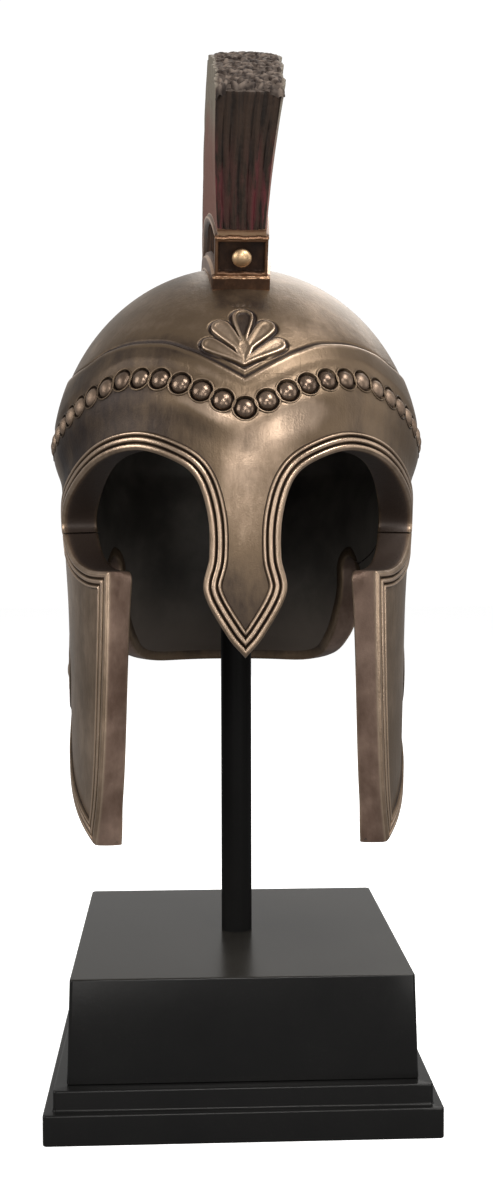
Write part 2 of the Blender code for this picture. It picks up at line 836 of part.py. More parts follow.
def make_plume():
    """Fan of hair locks: ribs down both sides, ragged at the top, and round locks in front."""
    stations = spread(CREST_START + 1.5, CREST_END - 1.0, 2 * PLUME_LOCKS + 1)
    rings = [plume_section(a, 1 if i % 2 else -1) for i, a in enumerate(stations)]
    plume = loft("plume", rings, PARTS, PLUME_MATERIAL)
    front = rings[0]
    low_left, top_left, top_right, low_right = front[0], front[2], front[4], front[6]
    shape = bmesh.new()
    for lock in range(FRONT_LOCKS):
        share = (lock + 0.5) / FRONT_LOCKS
        low = low_left.lerp(low_right, share)
        top = top_left.lerp(top_right, share)
        run = top - low
        low_radius = (low_right - low_left).length / FRONT_LOCKS * 0.62
        top_radius = (top_right - top_left).length / FRONT_LOCKS * 0.62
        turn = run.to_track_quat("Z", "X").to_matrix().to_4x4()
        middle = low + run * 0.5 + run.normalized() * (0.9 if lock % 2 else 0.4)
        bmesh.ops.create_cone(shape, cap_ends=True, segments=8, radius1=low_radius,
                              radius2=top_radius, depth=run.length * 0.985,
                              matrix=Matrix.Translation(middle) @ turn)
    boolean(plume, bmesh_solid("front_locks", shape, CUTTERS), "UNION", use_self=True)
    return plume


# ================================================================== the parts
def make_cylinder(name, radius, bottom, top, sides, collection, material=None):
    """Upright cylinder on the rod's axis."""
    shape = bmesh.new()
    middle = Matrix.Translation((0.0, 0.0, (bottom + top) / 2.0))
    bmesh.ops.create_cone(shape, cap_ends=True, segments=sides, radius1=radius,
                          radius2=radius, depth=top - bottom, matrix=middle)
    return bmesh_solid(name, shape, collection, material)


def make_stepped_block(name, levels, material):
    """Square block whose half-width changes with height, its edges slightly rounded."""
    rings = []
    for height, half in levels:
        rings.append([Vector((x * half, y * half, height))
                      for x, y in ((-1, -1), (1, -1), (1, 1), (-1, 1))])
    block = loft(name, rings, PARTS, material)
    rounding = block.modifiers.new("Bevel", "BEVEL")
    rounding.width = EDGE_ROUNDING * MM
    rounding.segments = 2
    rounding.limit_method = "ANGLE"
    rounding.angle_limit = math.radians(30.0)
    return block


def make_stand():
    """Stepped foot, tapered block and the rod that stands in it."""
    make_stepped_block("plinth_foot", ((0.0, FOOT_HALF), (FOOT_HEIGHT, FOOT_HALF),
                                       (FOOT_HEIGHT, STEP_HALF), (STEP_TOP, STEP_HALF)),
                       BLACK_MATERIAL)
    block = make_stepped_block("plinth_block", ((STEP_TOP + GAP, BLOCK_HALF_BOTTOM),
                                                (PLINTH_TOP, BLOCK_HALF_TOP)), BLACK_MATERIAL)
    rod_foot = PLINTH_TOP - ROD_HOLE_DEPTH
    hole = make_cylinder("rod_hole", ROD_RADIUS + GAP, rod_foot - GAP, PLINTH_TOP + 5.0,
                         ROD_SIDES, CUTTERS)
    boolean(block, hole, "DIFFERENCE")
    make_cylinder("rod", ROD_RADIUS, rod_foot, ROD_TOP, ROD_SIDES, PARTS, BLACK_MATERIAL)


def make_helmet():
    """Cut the bell into the skull and the two cheek pieces."""
    wall = combined(make_bell(), make_moulding(), "UNION")
    wall = combined(wall, make_face_cutter(), "DIFFERENCE")
    wall = combined(wall, make_side_cutter(), "DIFFERENCE")
    skull = bake(wall, "skull", PARTS, BRONZE_MATERIAL)
    for name, side in (("right", 1), ("left", -1)):
        boolean(skull, make_cheek_zone("cheek_zone_" + name, side, 0.0), "DIFFERENCE")
    boss = make_cylinder("boss", BOSS_RADIUS, BOSS_BOTTOM, BOSS_TOP, ROD_SIDES, CUTTERS)
    bore = make_cylinder("bore", ROD_RADIUS + GAP, BOSS_BOTTOM - 3.0, ROD_TOP + GAP,
                         ROD_SIDES, CUTTERS)
    boolean(skull, boss, "UNION")
    boolean(skull, bore, "DIFFERENCE")
    for petal in make_petals():
        boolean(skull, petal, "UNION")

    for name, side in (("right", 1), ("left", -1)):
        cheek = bake(wall, "cheek_" + name, PARTS, BRONZE_MATERIAL)
        boolean(cheek, make_cheek_zone("cheek_box_" + name, side, GAP), "INTERSECT")
        boolean(cheek, make_medallion(side), "UNION")


def make_bead(name, angle):
    """Low domed bead that lies in the channel, its axis square to the wall."""
    height = brow_line(angle, 1)
    seat, outward, along, uphill = dome_frame(angle, height)
    frame = Matrix((along, uphill, outward)).transposed().to_4x4()
    size = Matrix.Diagonal((BEAD_RADIUS, BEAD_RADIUS, BEAD_HALF_HEIGHT, 1.0))
    middle = Matrix.Translation(seat + outward * BEAD_PROUD)
    shape = bmesh.new()
    bmesh.ops.create_uvsphere(shape, u_segments=8, v_segments=5, radius=1.0,
                              matrix=middle @ frame @ size)
    bmesh.ops.recalc_face_normals(shape, faces=shape.faces)
    bmesh_solid(name, shape, PARTS, BRONZE_MATERIAL)


def make_beads():
    """Row of beads along the brow, numbered from the middle outwards."""
    make_bead("bead_middle", 0.0)
    for number, angle in enumerate(bead_angles()[1:], start=1):
        make_bead("bead_right_%02d" % number, angle)
        make_bead("bead_left_%02d" % number, -angle)


clear_scene()
PARTS = new_collection("greek_helmet")
CUTTERS = new_collection("cutters")
BRONZE_MATERIAL = make_material("bronze", BRONZE, 0.42, 0.85)
BLACK_MATERIAL = make_material("black", BLACK, 0.45, 0.0)
GOLD_MATERIAL = make_material("gold", GOLD, 0.30, 1.0)
PLUME_MATERIAL = make_material("plume", PLUME_BROWN, 0.60, 0.2)
make_stand()
make_helmet()
make_beads()
make_crest_holder()
make_crest_rivet()
make_plume()
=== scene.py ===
# %% [markdown]
# # A Greek helmet on its display stand
# The object is a half-size display copy of an ancient bronze helmet.  It is cast in
# resin, coloured as old bronze, and stands on a black rod in a stepped black plinth.
# The lesson builds its looks piece by piece around a packed model of plain solids.
# Every piece below is a surface worked out with numpy in millimetres.  The origin is
# the middle of the plinth's underside, +Z is up and the face looks towards -Y.

# %% The frame
import math

import bmesh
import bpy
import numpy as np
from mathutils import Matrix, Vector


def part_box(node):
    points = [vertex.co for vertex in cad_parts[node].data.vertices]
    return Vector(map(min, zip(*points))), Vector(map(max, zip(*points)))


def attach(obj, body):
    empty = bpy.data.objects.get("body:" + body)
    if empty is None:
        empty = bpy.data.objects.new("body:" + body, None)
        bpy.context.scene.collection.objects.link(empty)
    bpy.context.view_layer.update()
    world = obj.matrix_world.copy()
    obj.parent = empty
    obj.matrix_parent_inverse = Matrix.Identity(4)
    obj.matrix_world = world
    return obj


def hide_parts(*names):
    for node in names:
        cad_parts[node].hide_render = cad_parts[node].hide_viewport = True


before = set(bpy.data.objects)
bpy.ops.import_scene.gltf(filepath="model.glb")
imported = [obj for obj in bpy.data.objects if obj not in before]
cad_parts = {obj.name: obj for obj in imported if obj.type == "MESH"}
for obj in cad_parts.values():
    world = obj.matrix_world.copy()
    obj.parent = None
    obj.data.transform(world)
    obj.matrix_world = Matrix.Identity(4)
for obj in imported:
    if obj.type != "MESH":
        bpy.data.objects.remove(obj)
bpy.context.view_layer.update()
MM = 0.001
print("nodes in the frame:", len(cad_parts))

# %% [markdown]
# ## Grids, profiles and meshes
# A surface is a grid of points with two parameters.  Rows run one way and columns the
# other, and neighbouring points make a quad.  A grid may wrap round, as a tube does.
# Cells can be left out, which is how an opening is cut into a wall.  A number at each
# point, such as how high it stands on a ridge, can be kept with the mesh, so that the
# finish can darken hollows and brighten edges.  These few helpers serve every piece.

# %% Helpers for grids and meshes
def smooth(x, start, end):
    """Ease from 0 at start to 1 at end: 3t^2 - 2t^3 of the clamped share of the way."""
    t = np.clip((x - start) / (end - start), 0.0, 1.0)
    return t * t * (3.0 - 2.0 * t)


def bump(distance, half_width):
    """Round ridge: cosine squared of the distance, nothing past the half width."""
    t = np.clip(np.abs(distance) / half_width, 0.0, 1.0)
    return np.cos(t * math.pi / 2.0) ** 2


def unit(vectors):
    """Vectors divided by their length."""
    return vectors / np.maximum(np.linalg.norm(vectors, axis=-1, keepdims=True), 1e-9)


def grid_quads(rows, columns, wrap_rows=False, wrap_columns=False):
    """Corner numbers of every cell of a grid: shape (rows - 1, columns - 1, 4)."""
    index = np.arange(rows * columns).reshape(rows, columns)
    if wrap_columns:
        index = np.hstack([index, index[:, :1]])
    if wrap_rows:
        index = np.vstack([index, index[:1]])
    return np.stack([index[:-1, :-1], index[:-1, 1:], index[1:, 1:], index[1:, :-1]], axis=-1)


def mirrored(points):
    """The same points on the other side of the helmet: x turned to -x."""
    return points * np.array([-1.0, 1.0, 1.0])


def put_mesh(name, points, faces, values=None, fix_normals=True):
    """Make a smooth-shaded object from points in millimetres, faces and values per point."""
    points = np.asarray(points, float).reshape(-1, 3)
    faces = [list(face) for face in faces]
    used = np.unique(np.concatenate([np.asarray(face) for face in faces]))
    number = np.full(len(points), -1)
    number[used] = np.arange(len(used))
    mesh = bpy.data.meshes.new(name)
    mesh.from_pydata((points[used] * MM).tolist(), [], [number[face].tolist() for face in faces])
    for key, data in (values or {}).items():
        layer = mesh.attributes.new(key, "FLOAT", "POINT")
        layer.data.foreach_set("value", np.asarray(data, np.float32).reshape(-1)[used])
    if fix_normals:
        shape = bmesh.new()
        shape.from_mesh(mesh)
        bmesh.ops.remove_doubles(shape, verts=shape.verts, dist=1e-6)
        bmesh.ops.recalc_face_normals(shape, faces=shape.faces)
        shape.to_mesh(mesh)
        shape.free()
    mesh.shade_smooth()
    mesh.set_sharp_from_angle(angle=math.radians(58.0))
    piece = bpy.data.objects.new(name, mesh)
    bpy.context.scene.collection.objects.link(piece)
    return piece


def cap_faces(first, count):
    """One polygon over a ring of points numbered from first."""
    return [list(range(first, first + count))]


def tube(name, rings, values=None):
    """Closed tube: rings of points, each joined to the next, with a face over each end."""
    count, size = rings.shape[:2]
    faces = grid_quads(count, size, wrap_columns=True).reshape(-1, 4).tolist()
    faces += cap_faces(0, size) + cap_faces((count - 1) * size, size)
    return put_mesh(name, rings, faces, values)


def revolve(name, profile, sides):
    """Turn a profile of (radius, height) pairs round the upright axis, where its ends lie."""
    profile = np.asarray(profile, float)
    turn = np.linspace(0.0, 2.0 * math.pi, sides, endpoint=False)
    x = profile[:, :1] * np.cos(turn)
    y = profile[:, :1] * np.sin(turn)
    z = np.repeat(profile[:, 1:], sides, axis=1)
    return tube(name, np.stack([x, y, z], axis=-1))


def finish_piece(piece, nodes, material):
    """Give a piece its material, attach it to the root body and hide the nodes it stands for."""
    piece.data.materials.append(material)
    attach(piece, "root")
    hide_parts(*nodes)
    print("%-22s %7d faces" % (piece.name, len(piece.data.polygons)))


print("halfway up the ease:", smooth(0.5, 0.0, 1.0))

# %% [markdown]
# ## Shader maths as expressions
# A procedural material is arithmetic on colours and numbers.  Wiring a node for every
# plus and times by hand hides the idea, so a small class wraps a socket and turns
# Python's operators into Math nodes.  Any other node comes from one method.  A finish
# holds one material while it is made: its shader, its coordinates and its noises.

# %% The socket class
class Value:
    """A node's output that can be added, subtracted, multiplied and divided."""

    def __init__(self, tree, socket):
        self.tree = tree
        self.socket = socket

    def node(self, kind, settings=None, **inputs):
        """Add a node, set its options, then its sockets by name or as _number; first output."""
        made = self.tree.nodes.new(kind)
        for key, value in (settings or {}).items():
            setattr(made, key, value)
        for key, value in inputs.items():
            target = made.inputs[int(key[1:])] if key[1:].isdigit() else made.inputs[key]
            if isinstance(value, Value):
                self.tree.links.new(value.socket, target)
            else:
                target.default_value = value
        return Value(self.tree, made.outputs[0])

    def output(self, name):
        """Another output, by name or number, of the node that made this value."""
        return Value(self.tree, self.socket.node.outputs[name])

    def math(self, operation, first, second):
        """Add a Math node."""
        return self.node("ShaderNodeMath", {"operation": operation}, _0=first, _1=second)

    def __add__(self, other):
        return self.math("ADD", self, other)

    def __sub__(self, other):
        return self.math("SUBTRACT", self, other)

    def __rsub__(self, other):
        return self.math("SUBTRACT", other, self)

    def __mul__(self, other):
        return self.math("MULTIPLY", self, other)

    def __truediv__(self, other):
        return self.math("DIVIDE", self, other)

    __radd__ = __add__
    __rmul__ = __mul__

    def clamped(self, low=0.0, high=1.0):
        """The value held between two limits."""
        return self.math("MINIMUM", self.math("MAXIMUM", self, low), high)

    def step(self, start, end):
        """Ease from 0 at start to 1 at end: a Map Range node."""
        limits = {"From Min": start, "From Max": end}
        return self.node("ShaderNodeMapRange", {"interpolation_type": "SMOOTHSTEP"},
                         Value=self, **limits)

    def blend(self, low, high):
        """Mix two colours by this value: low at 0, high at 1.  Sockets 6 and 7 take colours."""
        low, high = (side if isinstance(side, Value) else (*side, 1.0) for side in (low, high))
        mixed = self.node("ShaderNodeMix", {"data_type": "RGBA"}, Factor=self, _6=low, _7=high)
        return mixed.output(2)


class Finish:
    """A material under construction: its shader, its coordinates and its noises."""

    def __init__(self, name):
        self.material = bpy.data.materials.new(name)
        self.material.use_nodes = True
        self.tree = self.material.node_tree
        self.shader = self.tree.nodes["Principled BSDF"]
        self.maker = Value(self.tree, None)
        self.place = self.maker.node("ShaderNodeTexCoord").output("Object")

    def noise(self, scale, detail, roughness, stretch=(1.0, 1.0, 1.0)):
        """Noise of a size in features per metre, stretched along the axes."""
        spot = self.maker.node("ShaderNodeMapping", None, Vector=self.place, Scale=stretch)
        return self.maker.node("ShaderNodeTexNoise", None, Vector=spot, Scale=scale,
                               Detail=detail, Roughness=roughness)

    def stored(self, key):
        """A number kept at the mesh's points."""
        return self.maker.node("ShaderNodeAttribute", {"attribute_name": key}).output("Fac")

    def set(self, **sockets):
        """Feed the shader's sockets; an underscore stands for a space."""
        for key, value in sockets.items():
            target = self.shader.inputs[key.replace("_", " ")]
            if isinstance(value, Value):
                self.tree.links.new(value.socket, target)
            else:
                target.default_value = value

    def raise_surface(self, height, strength, distance):
        """Bump the surface by a height value."""
        bumped = self.maker.node("ShaderNodeBump", None, Height=height, Strength=strength,
                                 Distance=distance)
        self.set(Normal=bumped)


print("a value can:", ", ".join(key for key in vars(Value) if not key.startswith("_")))

# %% [markdown]
# ## Old bronze
# The casting is painted bronze and rubbed: brown-black stays in the hollows, a warm
# brown lies on the open wall, and raised edges are polished to a pale gold-brown.
# The finish reads three numbers kept in the mesh: relief, from 0 in a groove to 1 on a
# crest, cut, which is 1 on the sawn faces of the openings, and dull, which takes away
# the gleam of the outer beads.  Noise at four sizes adds patches, smears, brushed
# streaks and pitting.  One function makes the casting's bronze, the darker and
# glossier one of the beads, and the redder one of the crest holder.

# %% The bronze finishes
OPEN_WALL, RUBBED_EDGE = (0.130, 0.089, 0.055), (0.55, 0.41, 0.305)
# SAWN_SHADED is painted shade, the colour of the sawn faces inside the eyes.
DEEP_GROOVE, SAWN_SHADED = (0.018, 0.010, 0.0075), (0.030, 0.019, 0.014)
SAWN_DARK, SAWN_PALE = (0.10, 0.058, 0.040), (0.36, 0.250, 0.195)


def make_bronze(name, open_wall=OPEN_WALL, rubbed_edge=RUBBED_EDGE, matt=0.52):
    """Bronze whose colour and gloss follow relief and cut, with patches and streaks."""
    finish = Finish(name)
    # relief also carries painted highlights and shade on the front, the sawn faces and the petals'
    # rims.
    relief, cut, dull = (finish.stored(key) for key in ("relief", "cut", "dull"))
    patches = finish.noise(42.0, 5.0, 0.62)
    smears = finish.noise(150.0, 4.0, 0.65, (1.0, 1.0, 0.55))
    streaks = finish.noise(900.0, 3.0, 0.6, (1.0, 1.0, 0.25))
    grain = finish.noise(2600.0, 2.0, 0.5)
    wear = (relief + (patches - 0.5) * 0.42 + (smears - 0.5) * 0.42
            + (streaks - 0.5) * 0.12).clamped()
    dark = wear.step(0.0, 0.44).blend(DEEP_GROOVE, open_wall)
    warm = wear.step(0.40, 1.0).blend(dark, rubbed_edge)
    mottled = (patches * 0.9 + smears * 0.6 - 0.25).clamped()
    pale = mottled.step(0.25, 0.85).blend(SAWN_DARK, SAWN_PALE)
    # Low relief on a sawn face gives its painted shade, high relief its lit, mottled colour.
    sawn = relief.step(0.05, 0.7).blend(SAWN_SHADED, pale)
    gloss = matt - wear * 0.26 + (smears - 0.5) * 0.18 + cut * 0.06 + dull * 0.30
    finish.set(Base_Color=cut.blend(warm, sawn), Roughness=gloss.clamped(0.2, 0.8),
               Metallic=(0.55 + wear * 0.35 - cut * 0.25).clamped())
    finish.raise_surface(streaks * 0.4 + grain * 0.3 + smears * 0.8 + patches, 0.25, 0.0006)
    return finish.material


BRONZE = make_bronze("old_bronze")
DARK_BRONZE = make_bronze("dark_bronze", (0.085, 0.055, 0.038), matt=0.38)
COPPER = make_bronze("brown_copper", (0.150, 0.075, 0.040), (0.64, 0.41, 0.25))
print("bronze finishes:", BRONZE.name, DARK_BRONZE.name, COPPER.name)

# %% [markdown]
# ## The shape of the wall
# Seen from above, a level section of the helmet is a rounded ellipse: the exponent in
# (x/a)^n + (y/b)^n = 1 is a little over 2, which fills out its corners.  Its reach to
# the side, the front and the back changes with height.  A table gives it below the
# brow, and the quarter circle of an ellipsoid above.  A curve that never overshoots
# runs through the rows of each table.  WALL and LINING hold height, side, front and
# back; BROW holds degrees from the front and the heights of the beads and the ridge.

# %% Sizes of the wall
ROUNDNESS = 2.2
DOME_CENTRE = 160.0
DOME_TOP = 210.3
DOME_HALVES = (46.95, 58.5, 60.5)
INNER_TOP = 205.3
INNER_HALVES = (40.2, 52.9, 55.6)
BROW_STEP = (1.8, 1.5, 1.6)
STEP_FOOT, STEP_TOP = 10.5, 2.4
WALL = ((60.0, 42.0, 52.0, 60.0), (85.0, 42.8, 54.0, 60.0), (106.0, 43.2, 55.5, 61.5),
        (112.0, 43.3, 56.0, 58.0), (122.0, 43.5, 56.5, 55.2), (140.0, 44.4, 56.7, 55.6),
        (150.0, 44.8, 56.7, 57.6), (157.0, 45.1, 57.0, 58.9))
LINING = ((60.0, 37.0, 46.6, 56.4), (85.0, 37.7, 48.6, 56.4), (106.0, 38.0, 50.2, 57.8),
          (112.0, 38.0, 50.7, 54.2), (122.0, 37.8, 51.2, 51.2), (140.0, 36.9, 51.5, 51.4),
          (150.0, 37.4, 51.8, 52.4), (160.0, 40.2, 52.9, 55.6))
BROW = ((0.0, 169.8, 176.9), (6.0, 172.0, 180.1), (13.0, 175.0, 183.3), (22.0, 177.0, 185.8),
        (30.0, 177.3, 186.2), (41.0, 174.6, 185.2), (52.0, 171.0, 182.6), (66.0, 166.7, 181.4),
        (80.0, 164.3, 181.0), (100.0, 163.3, 180.5), (180.0, 163.0, 180.0))
CHANNEL_END, CHANNEL_FADE = 108.0, 7.0


def through(table, column, x):
    """Smooth curve through a table: cubic pieces with harmonic-mean slopes at the rows."""
    keys = np.array([row[0] for row in table])
    values = np.array([row[column] for row in table])
    slopes = np.diff(values) / np.diff(keys)
    before, after = slopes[:-1], slopes[1:]
    same = before * after > 0.0
    total = np.where(same, before + after, 1.0)
    knots = np.concatenate([slopes[:1], np.where(same, 2.0 * before * after / total, 0.0),
                            slopes[-1:]])
    x = np.clip(x, keys[0], keys[-1])
    i = np.clip(np.searchsorted(keys, x, side="right") - 1, 0, len(keys) - 2)
    span = keys[i + 1] - keys[i]
    t = (x - keys[i]) / span
    rise = t * t * (3.0 - 2.0 * t)
    return (values[i] + (values[i + 1] - values[i]) * rise
            + t * (1.0 - t) ** 2 * span * knots[i] + t * t * (t - 1.0) * span * knots[i + 1])


def dome_share(z, top):
    """Share of its full width that an ellipsoid dome still has at a height."""
    rise = np.maximum(z - DOME_CENTRE, 0.0) / (top - DOME_CENTRE)
    return np.sqrt(np.clip(1.0 - rise * rise, 0.0, 1.0))


def level_radius(side, front, back, angle):
    """Radius of a level section: ((sin/side)^n + (cos/reach)^n)^(-1/n)."""
    reach = np.where(np.cos(angle) > 0.0, front, back)
    across = np.abs(np.sin(angle)) / side
    along = np.abs(np.cos(angle)) / reach
    return (across ** ROUNDNESS + along ** ROUNDNESS) ** (-1.0 / ROUNDNESS)


def dome_radius(angle, z):
    """Radius of the dome and of the band above the brow's step."""
    return level_radius(*DOME_HALVES, angle) * dome_share(z, DOME_TOP)


def face_radius(angle, z):
    """Radius of the wall below the brow."""
    low = level_radius(*(through(WALL, c, z) for c in (1, 2, 3)), angle)
    halves = [half - step for half, step in zip(DOME_HALVES, BROW_STEP)]
    high = level_radius(*halves, angle) * dome_share(z, DOME_TOP)
    return np.where(z <= WALL[-1][0], low, high)


def lining_radius(angle, z):
    """Radius of the inner wall."""
    low = level_radius(*(through(LINING, c, z) for c in (1, 2, 3)), angle)
    high = level_radius(*INNER_HALVES, angle) * dome_share(z, INNER_TOP)
    return np.where(z <= DOME_CENTRE, low, high)


def bead_line(angle):
    """Height of the row of beads."""
    return through(BROW, 1, np.abs(np.degrees(angle)))


def ridge_line(angle):
    """Height of the crest of the brow's moulding."""
    return through(BROW, 2, np.abs(np.degrees(angle)))


def wall_radius(angle, z):
    """Radius of the outer wall, which steps out to the dome just under the beads."""
    out = smooth(z, bead_line(angle) - STEP_FOOT, bead_line(angle) - STEP_TOP)
    return face_radius(angle, z) * (1.0 - out) + dome_radius(angle, z) * out


def at(radius, angle, z):
    """Points from radius, angle from the front and height."""
    return np.stack([radius * np.sin(angle), -radius * np.cos(angle), z + 0.0 * angle], axis=-1)


def angle_of(points):
    """Angle of points round the rod, from the front towards +X."""
    return np.arctan2(points[..., 0], -points[..., 1])


def outward(radius_function, angle, z):
    """Outward direction of a wall, from small steps along it."""
    d = 0.003
    across = (at(radius_function(angle + d, z), angle + d, z)
              - at(radius_function(angle - d, z), angle - d, z))
    rise = (at(radius_function(angle, z + 0.1), angle, z + 0.1)
            - at(radius_function(angle, z - 0.1), angle, z - 0.1))
    return unit(np.cross(across, rise))


def on_wall(radius_function, points, height):
    """Points moved onto a wall at their own angle and level, then out by a height."""
    angle, z = angle_of(points), points[..., 2]
    base = at(radius_function(angle, z), angle, z)
    return base + outward(radius_function, angle, z) * np.asarray(height)[..., None]


print("half width at the brow: %.1f mm" % wall_radius(np.array(math.pi / 2), np.array(165.0)))

# %% [markdown]
# ## The free edges
# The face opening is drawn as it is seen from the front, the lower edge as it is seen
# from the side, and the neck guard ends on a level line.  Smooth curves run through a
# few listed points, each is laid on the wall, and the runs between sharp corners are
# divided into even steps.

# %% The edge path
FACE_EDGE = ((0.0, 114.4), (4.2, 119.4), (9.2, 129.0), (8.0, 137.0), (8.3, 146.0),
             (10.9, 154.2), (16.0, 158.4), (24.5, 161.0), (33.4, 158.7), (40.9, 151.4),
             (43.2, 144.5), (40.7, 137.4), (36.4, 133.9), (30.8, 133.3))
CHEEK_FRONT = ((30.8, 133.3), (31.4, 115.0), (32.3, 95.0), (33.4, 79.0), (35.0, 67.3))
CHEEK_REAR = ((-32.1, 67.3), (-20.0, 73.6), (-8.0, 81.0), (4.0, 89.6), (12.5, 100.0),
              (18.0, 113.0), (21.0, 131.5))
NOTCH_CENTRE, NOTCH_RADIUS = (25.5, 131.5), 4.5
GUARD_CORNER, GUARD_RADIUS, GUARD_BOTTOM = (57.1, 131.5), 27.1, 104.4
SEAM_FRONT, SEAM_BACK = (-17.0, 142.4), (26.0, 133.6)
CUT_CENTRE_Y = -22.0


def curve(knots, steps=14):
    """Catmull-Rom curve: a cubic through each pair of knots, steered by their neighbours."""
    k = np.asarray(knots, float)
    k = np.vstack([2 * k[0] - k[1], k, 2 * k[-1] - k[-2]])
    t = (np.arange(steps) / steps)[None, :, None]
    a, b, c, d = (k[i:len(k) - 3 + i][:, None, :] for i in range(4))
    spans = 0.5 * (2 * b + (c - a) * t + (2 * a - 5 * b + 4 * c - d) * t ** 2
                   + (3 * b - a - 3 * c + d) * t ** 3)
    return np.vstack([spans.reshape(-1, k.shape[1]), k[-2:-1]])


def evenly(path, pitch):
    """Divide a path into even steps of about a pitch, both ends kept."""
    run = np.concatenate([[0.0], np.cumsum(np.linalg.norm(np.diff(path, axis=0), axis=1))])
    count = max(int(round(run[-1] / pitch)), 2)
    places = np.linspace(0.0, run[-1], count + 1)
    return np.stack([np.interp(places, run, path[:, k]) for k in range(path.shape[1])], axis=1)


def arc(centre, radius, start, end, steps=24):
    """Points of an arc, angles in degrees."""
    turn = np.radians(np.linspace(start, end, steps))
    return np.stack([centre[0] + radius * np.cos(turn), centre[1] + radius * np.sin(turn)], 1)


def from_front(flat):
    """Points of the wall seen from the front at x and height: y solved from the section."""
    side, front = through(WALL, 1, flat[:, 1]), through(WALL, 2, flat[:, 1])
    high = flat[:, 1] > WALL[-1][0]
    share = dome_share(flat[:, 1], DOME_TOP)
    side = np.where(high, (DOME_HALVES[0] - BROW_STEP[0]) * share, side)
    front = np.where(high, (DOME_HALVES[1] - BROW_STEP[1]) * share, front)
    y = -front * (1.0 - (np.abs(flat[:, 0]) / side) ** ROUNDNESS) ** (1.0 / ROUNDNESS)
    return np.stack([flat[:, 0], y, flat[:, 1]], axis=1)


def from_side(flat):
    """Points of the wall seen from the side at y and height: x solved from the section."""
    side = through(WALL, 1, flat[:, 1])
    reach = np.where(flat[:, 0] < 0.0, through(WALL, 2, flat[:, 1]), through(WALL, 3, flat[:, 1]))
    x = side * (1.0 - (np.abs(flat[:, 0]) / reach) ** ROUNDNESS) ** (1.0 / ROUNDNESS)
    return np.stack([x, flat[:, 0], flat[:, 1]], axis=1)


PITCH, NAPE_STEPS = 0.55, 59
FACE_FLAT = curve(FACE_EDGE)
FRONT_FLAT = curve(CHEEK_FRONT)
SIDE_FLAT = np.vstack([curve(CHEEK_REAR)[:-1], arc(NOTCH_CENTRE, NOTCH_RADIUS, 180.0, 0.0)[:-1],
                       arc(GUARD_CORNER, GUARD_RADIUS, 180.0, 270.0)])
corner_angle = angle_of(from_side(SIDE_FLAT)[-1:])[0]
nape = np.linspace(corner_angle, math.pi, NAPE_STEPS + 1)[1:]
NAPE_RUN = at(face_radius(nape, np.full(NAPE_STEPS, GUARD_BOTTOM)), nape, GUARD_BOTTOM)
RUN_FACE = evenly(from_front(FACE_FLAT), PITCH)
RUN_FRONT = evenly(from_front(FRONT_FLAT), PITCH)
RUN_SIDE = evenly(np.vstack([from_side(SIDE_FLAT), NAPE_RUN]), PITCH)
EDGE = np.vstack([RUN_FACE, RUN_FRONT[1:], RUN_SIDE[1:]])
TOP_CORNER = len(RUN_FACE) - 1
CHEEK_TIP = TOP_CORNER + len(RUN_FRONT) - 1
CORNERS = [0, TOP_CORNER, CHEEK_TIP]
print("edge path: %d points on one side" % len(EDGE))


def seam_height(y):
    """Height of the joint between the skull and a cheek piece: a straight sloping line."""
    slope = (SEAM_BACK[1] - SEAM_FRONT[1]) / (SEAM_BACK[0] - SEAM_FRONT[0])
    return SEAM_FRONT[1] + slope * (y - SEAM_FRONT[0])

# %% [markdown]
# ## The raised border
# On the real helmet every free edge has a border of three fine ridges with dark
# grooves between them, mitred at the nose tip and at the corners of the cheek pieces.
# It is a profile carried along the edge path: across the ridges, round the lip, down
# the sawn face to the lining and a little way along it, and back inside the wall.
# Where the border meets itself at a sharp corner, each side stops at the mitre: a
# point goes no further from the edge than the place where another stretch of the
# edge comes nearer.

# %% The border's profile and how it is carried
BORDER = 4.3
GROOVES = (1.60, 3.12)
RIDGE_HEIGHT, GROOVE_HEIGHT = 0.78, 0.12
FREE_ROOM = BORDER + 0.2
NEARER, SLACK = 0.955, 0.02


def ridge_height(a):
    """Height of the border above the wall at a distance from the edge: ridges and grooves."""
    grooves = sum(bump(a - place, 0.46) for place in GROOVES)
    crown = 0.08 * bump(a - 0.7, 0.7) + 0.06 * bump(a - 2.36, 0.5) + 0.05 * bump(a - 3.8, 0.4)
    fall = smooth(a, BORDER, BORDER - 0.42)
    return (RIDGE_HEIGHT - 0.08 + crown - (RIDGE_HEIGHT - GROOVE_HEIGHT) * grooves) * fall


def nearest(points, path, block=24):
    """Distance from points to the nearest point of a path, worked out block by block."""
    flat = points.reshape(-1, 3)
    best = np.full(len(flat), 1e9)
    for start in range(0, len(path), block):
        part = path[start:start + block]
        gaps = flat[:, None, :] - part[None, :, :]
        best = np.minimum(best, np.sqrt((gaps ** 2).sum(axis=2)).min(axis=1))
    return best.reshape(points.shape[:-1])


def into_wall(path):
    """Directions from the edge into the wall: normal cross tangent, mitred at the corners."""
    normal = outward(face_radius, angle_of(path), path[:, 2])
    step = np.diff(path, axis=0)
    first = np.vstack([path[0] - mirrored(path[1]), step])
    last = np.vstack([step, mirrored(path[-2]) - path[-1]])
    before = unit(np.cross(normal, first))
    after = unit(np.cross(normal, last))
    middle = unit(before + after)
    stretch = 1.0 / np.maximum((middle * before).sum(axis=1), 0.35)
    sharp = np.zeros(len(path), bool)
    sharp[CORNERS] = True
    return middle * np.where(sharp, stretch, 1.0)[:, None]


def room(path, direction, whole, reach):
    """How far each point can go before another stretch of the edge is nearer than it came."""
    steps = np.linspace(0.1, reach, 36)
    spots = path[:, None, :] + direction[:, None, :] * steps[None, :, None]
    near = nearest(spots, whole)
    blocked = near < NEARER * steps[None, :] - SLACK
    first = np.argmax(blocked, axis=1)
    return np.where(blocked.any(axis=1), steps[first], reach)


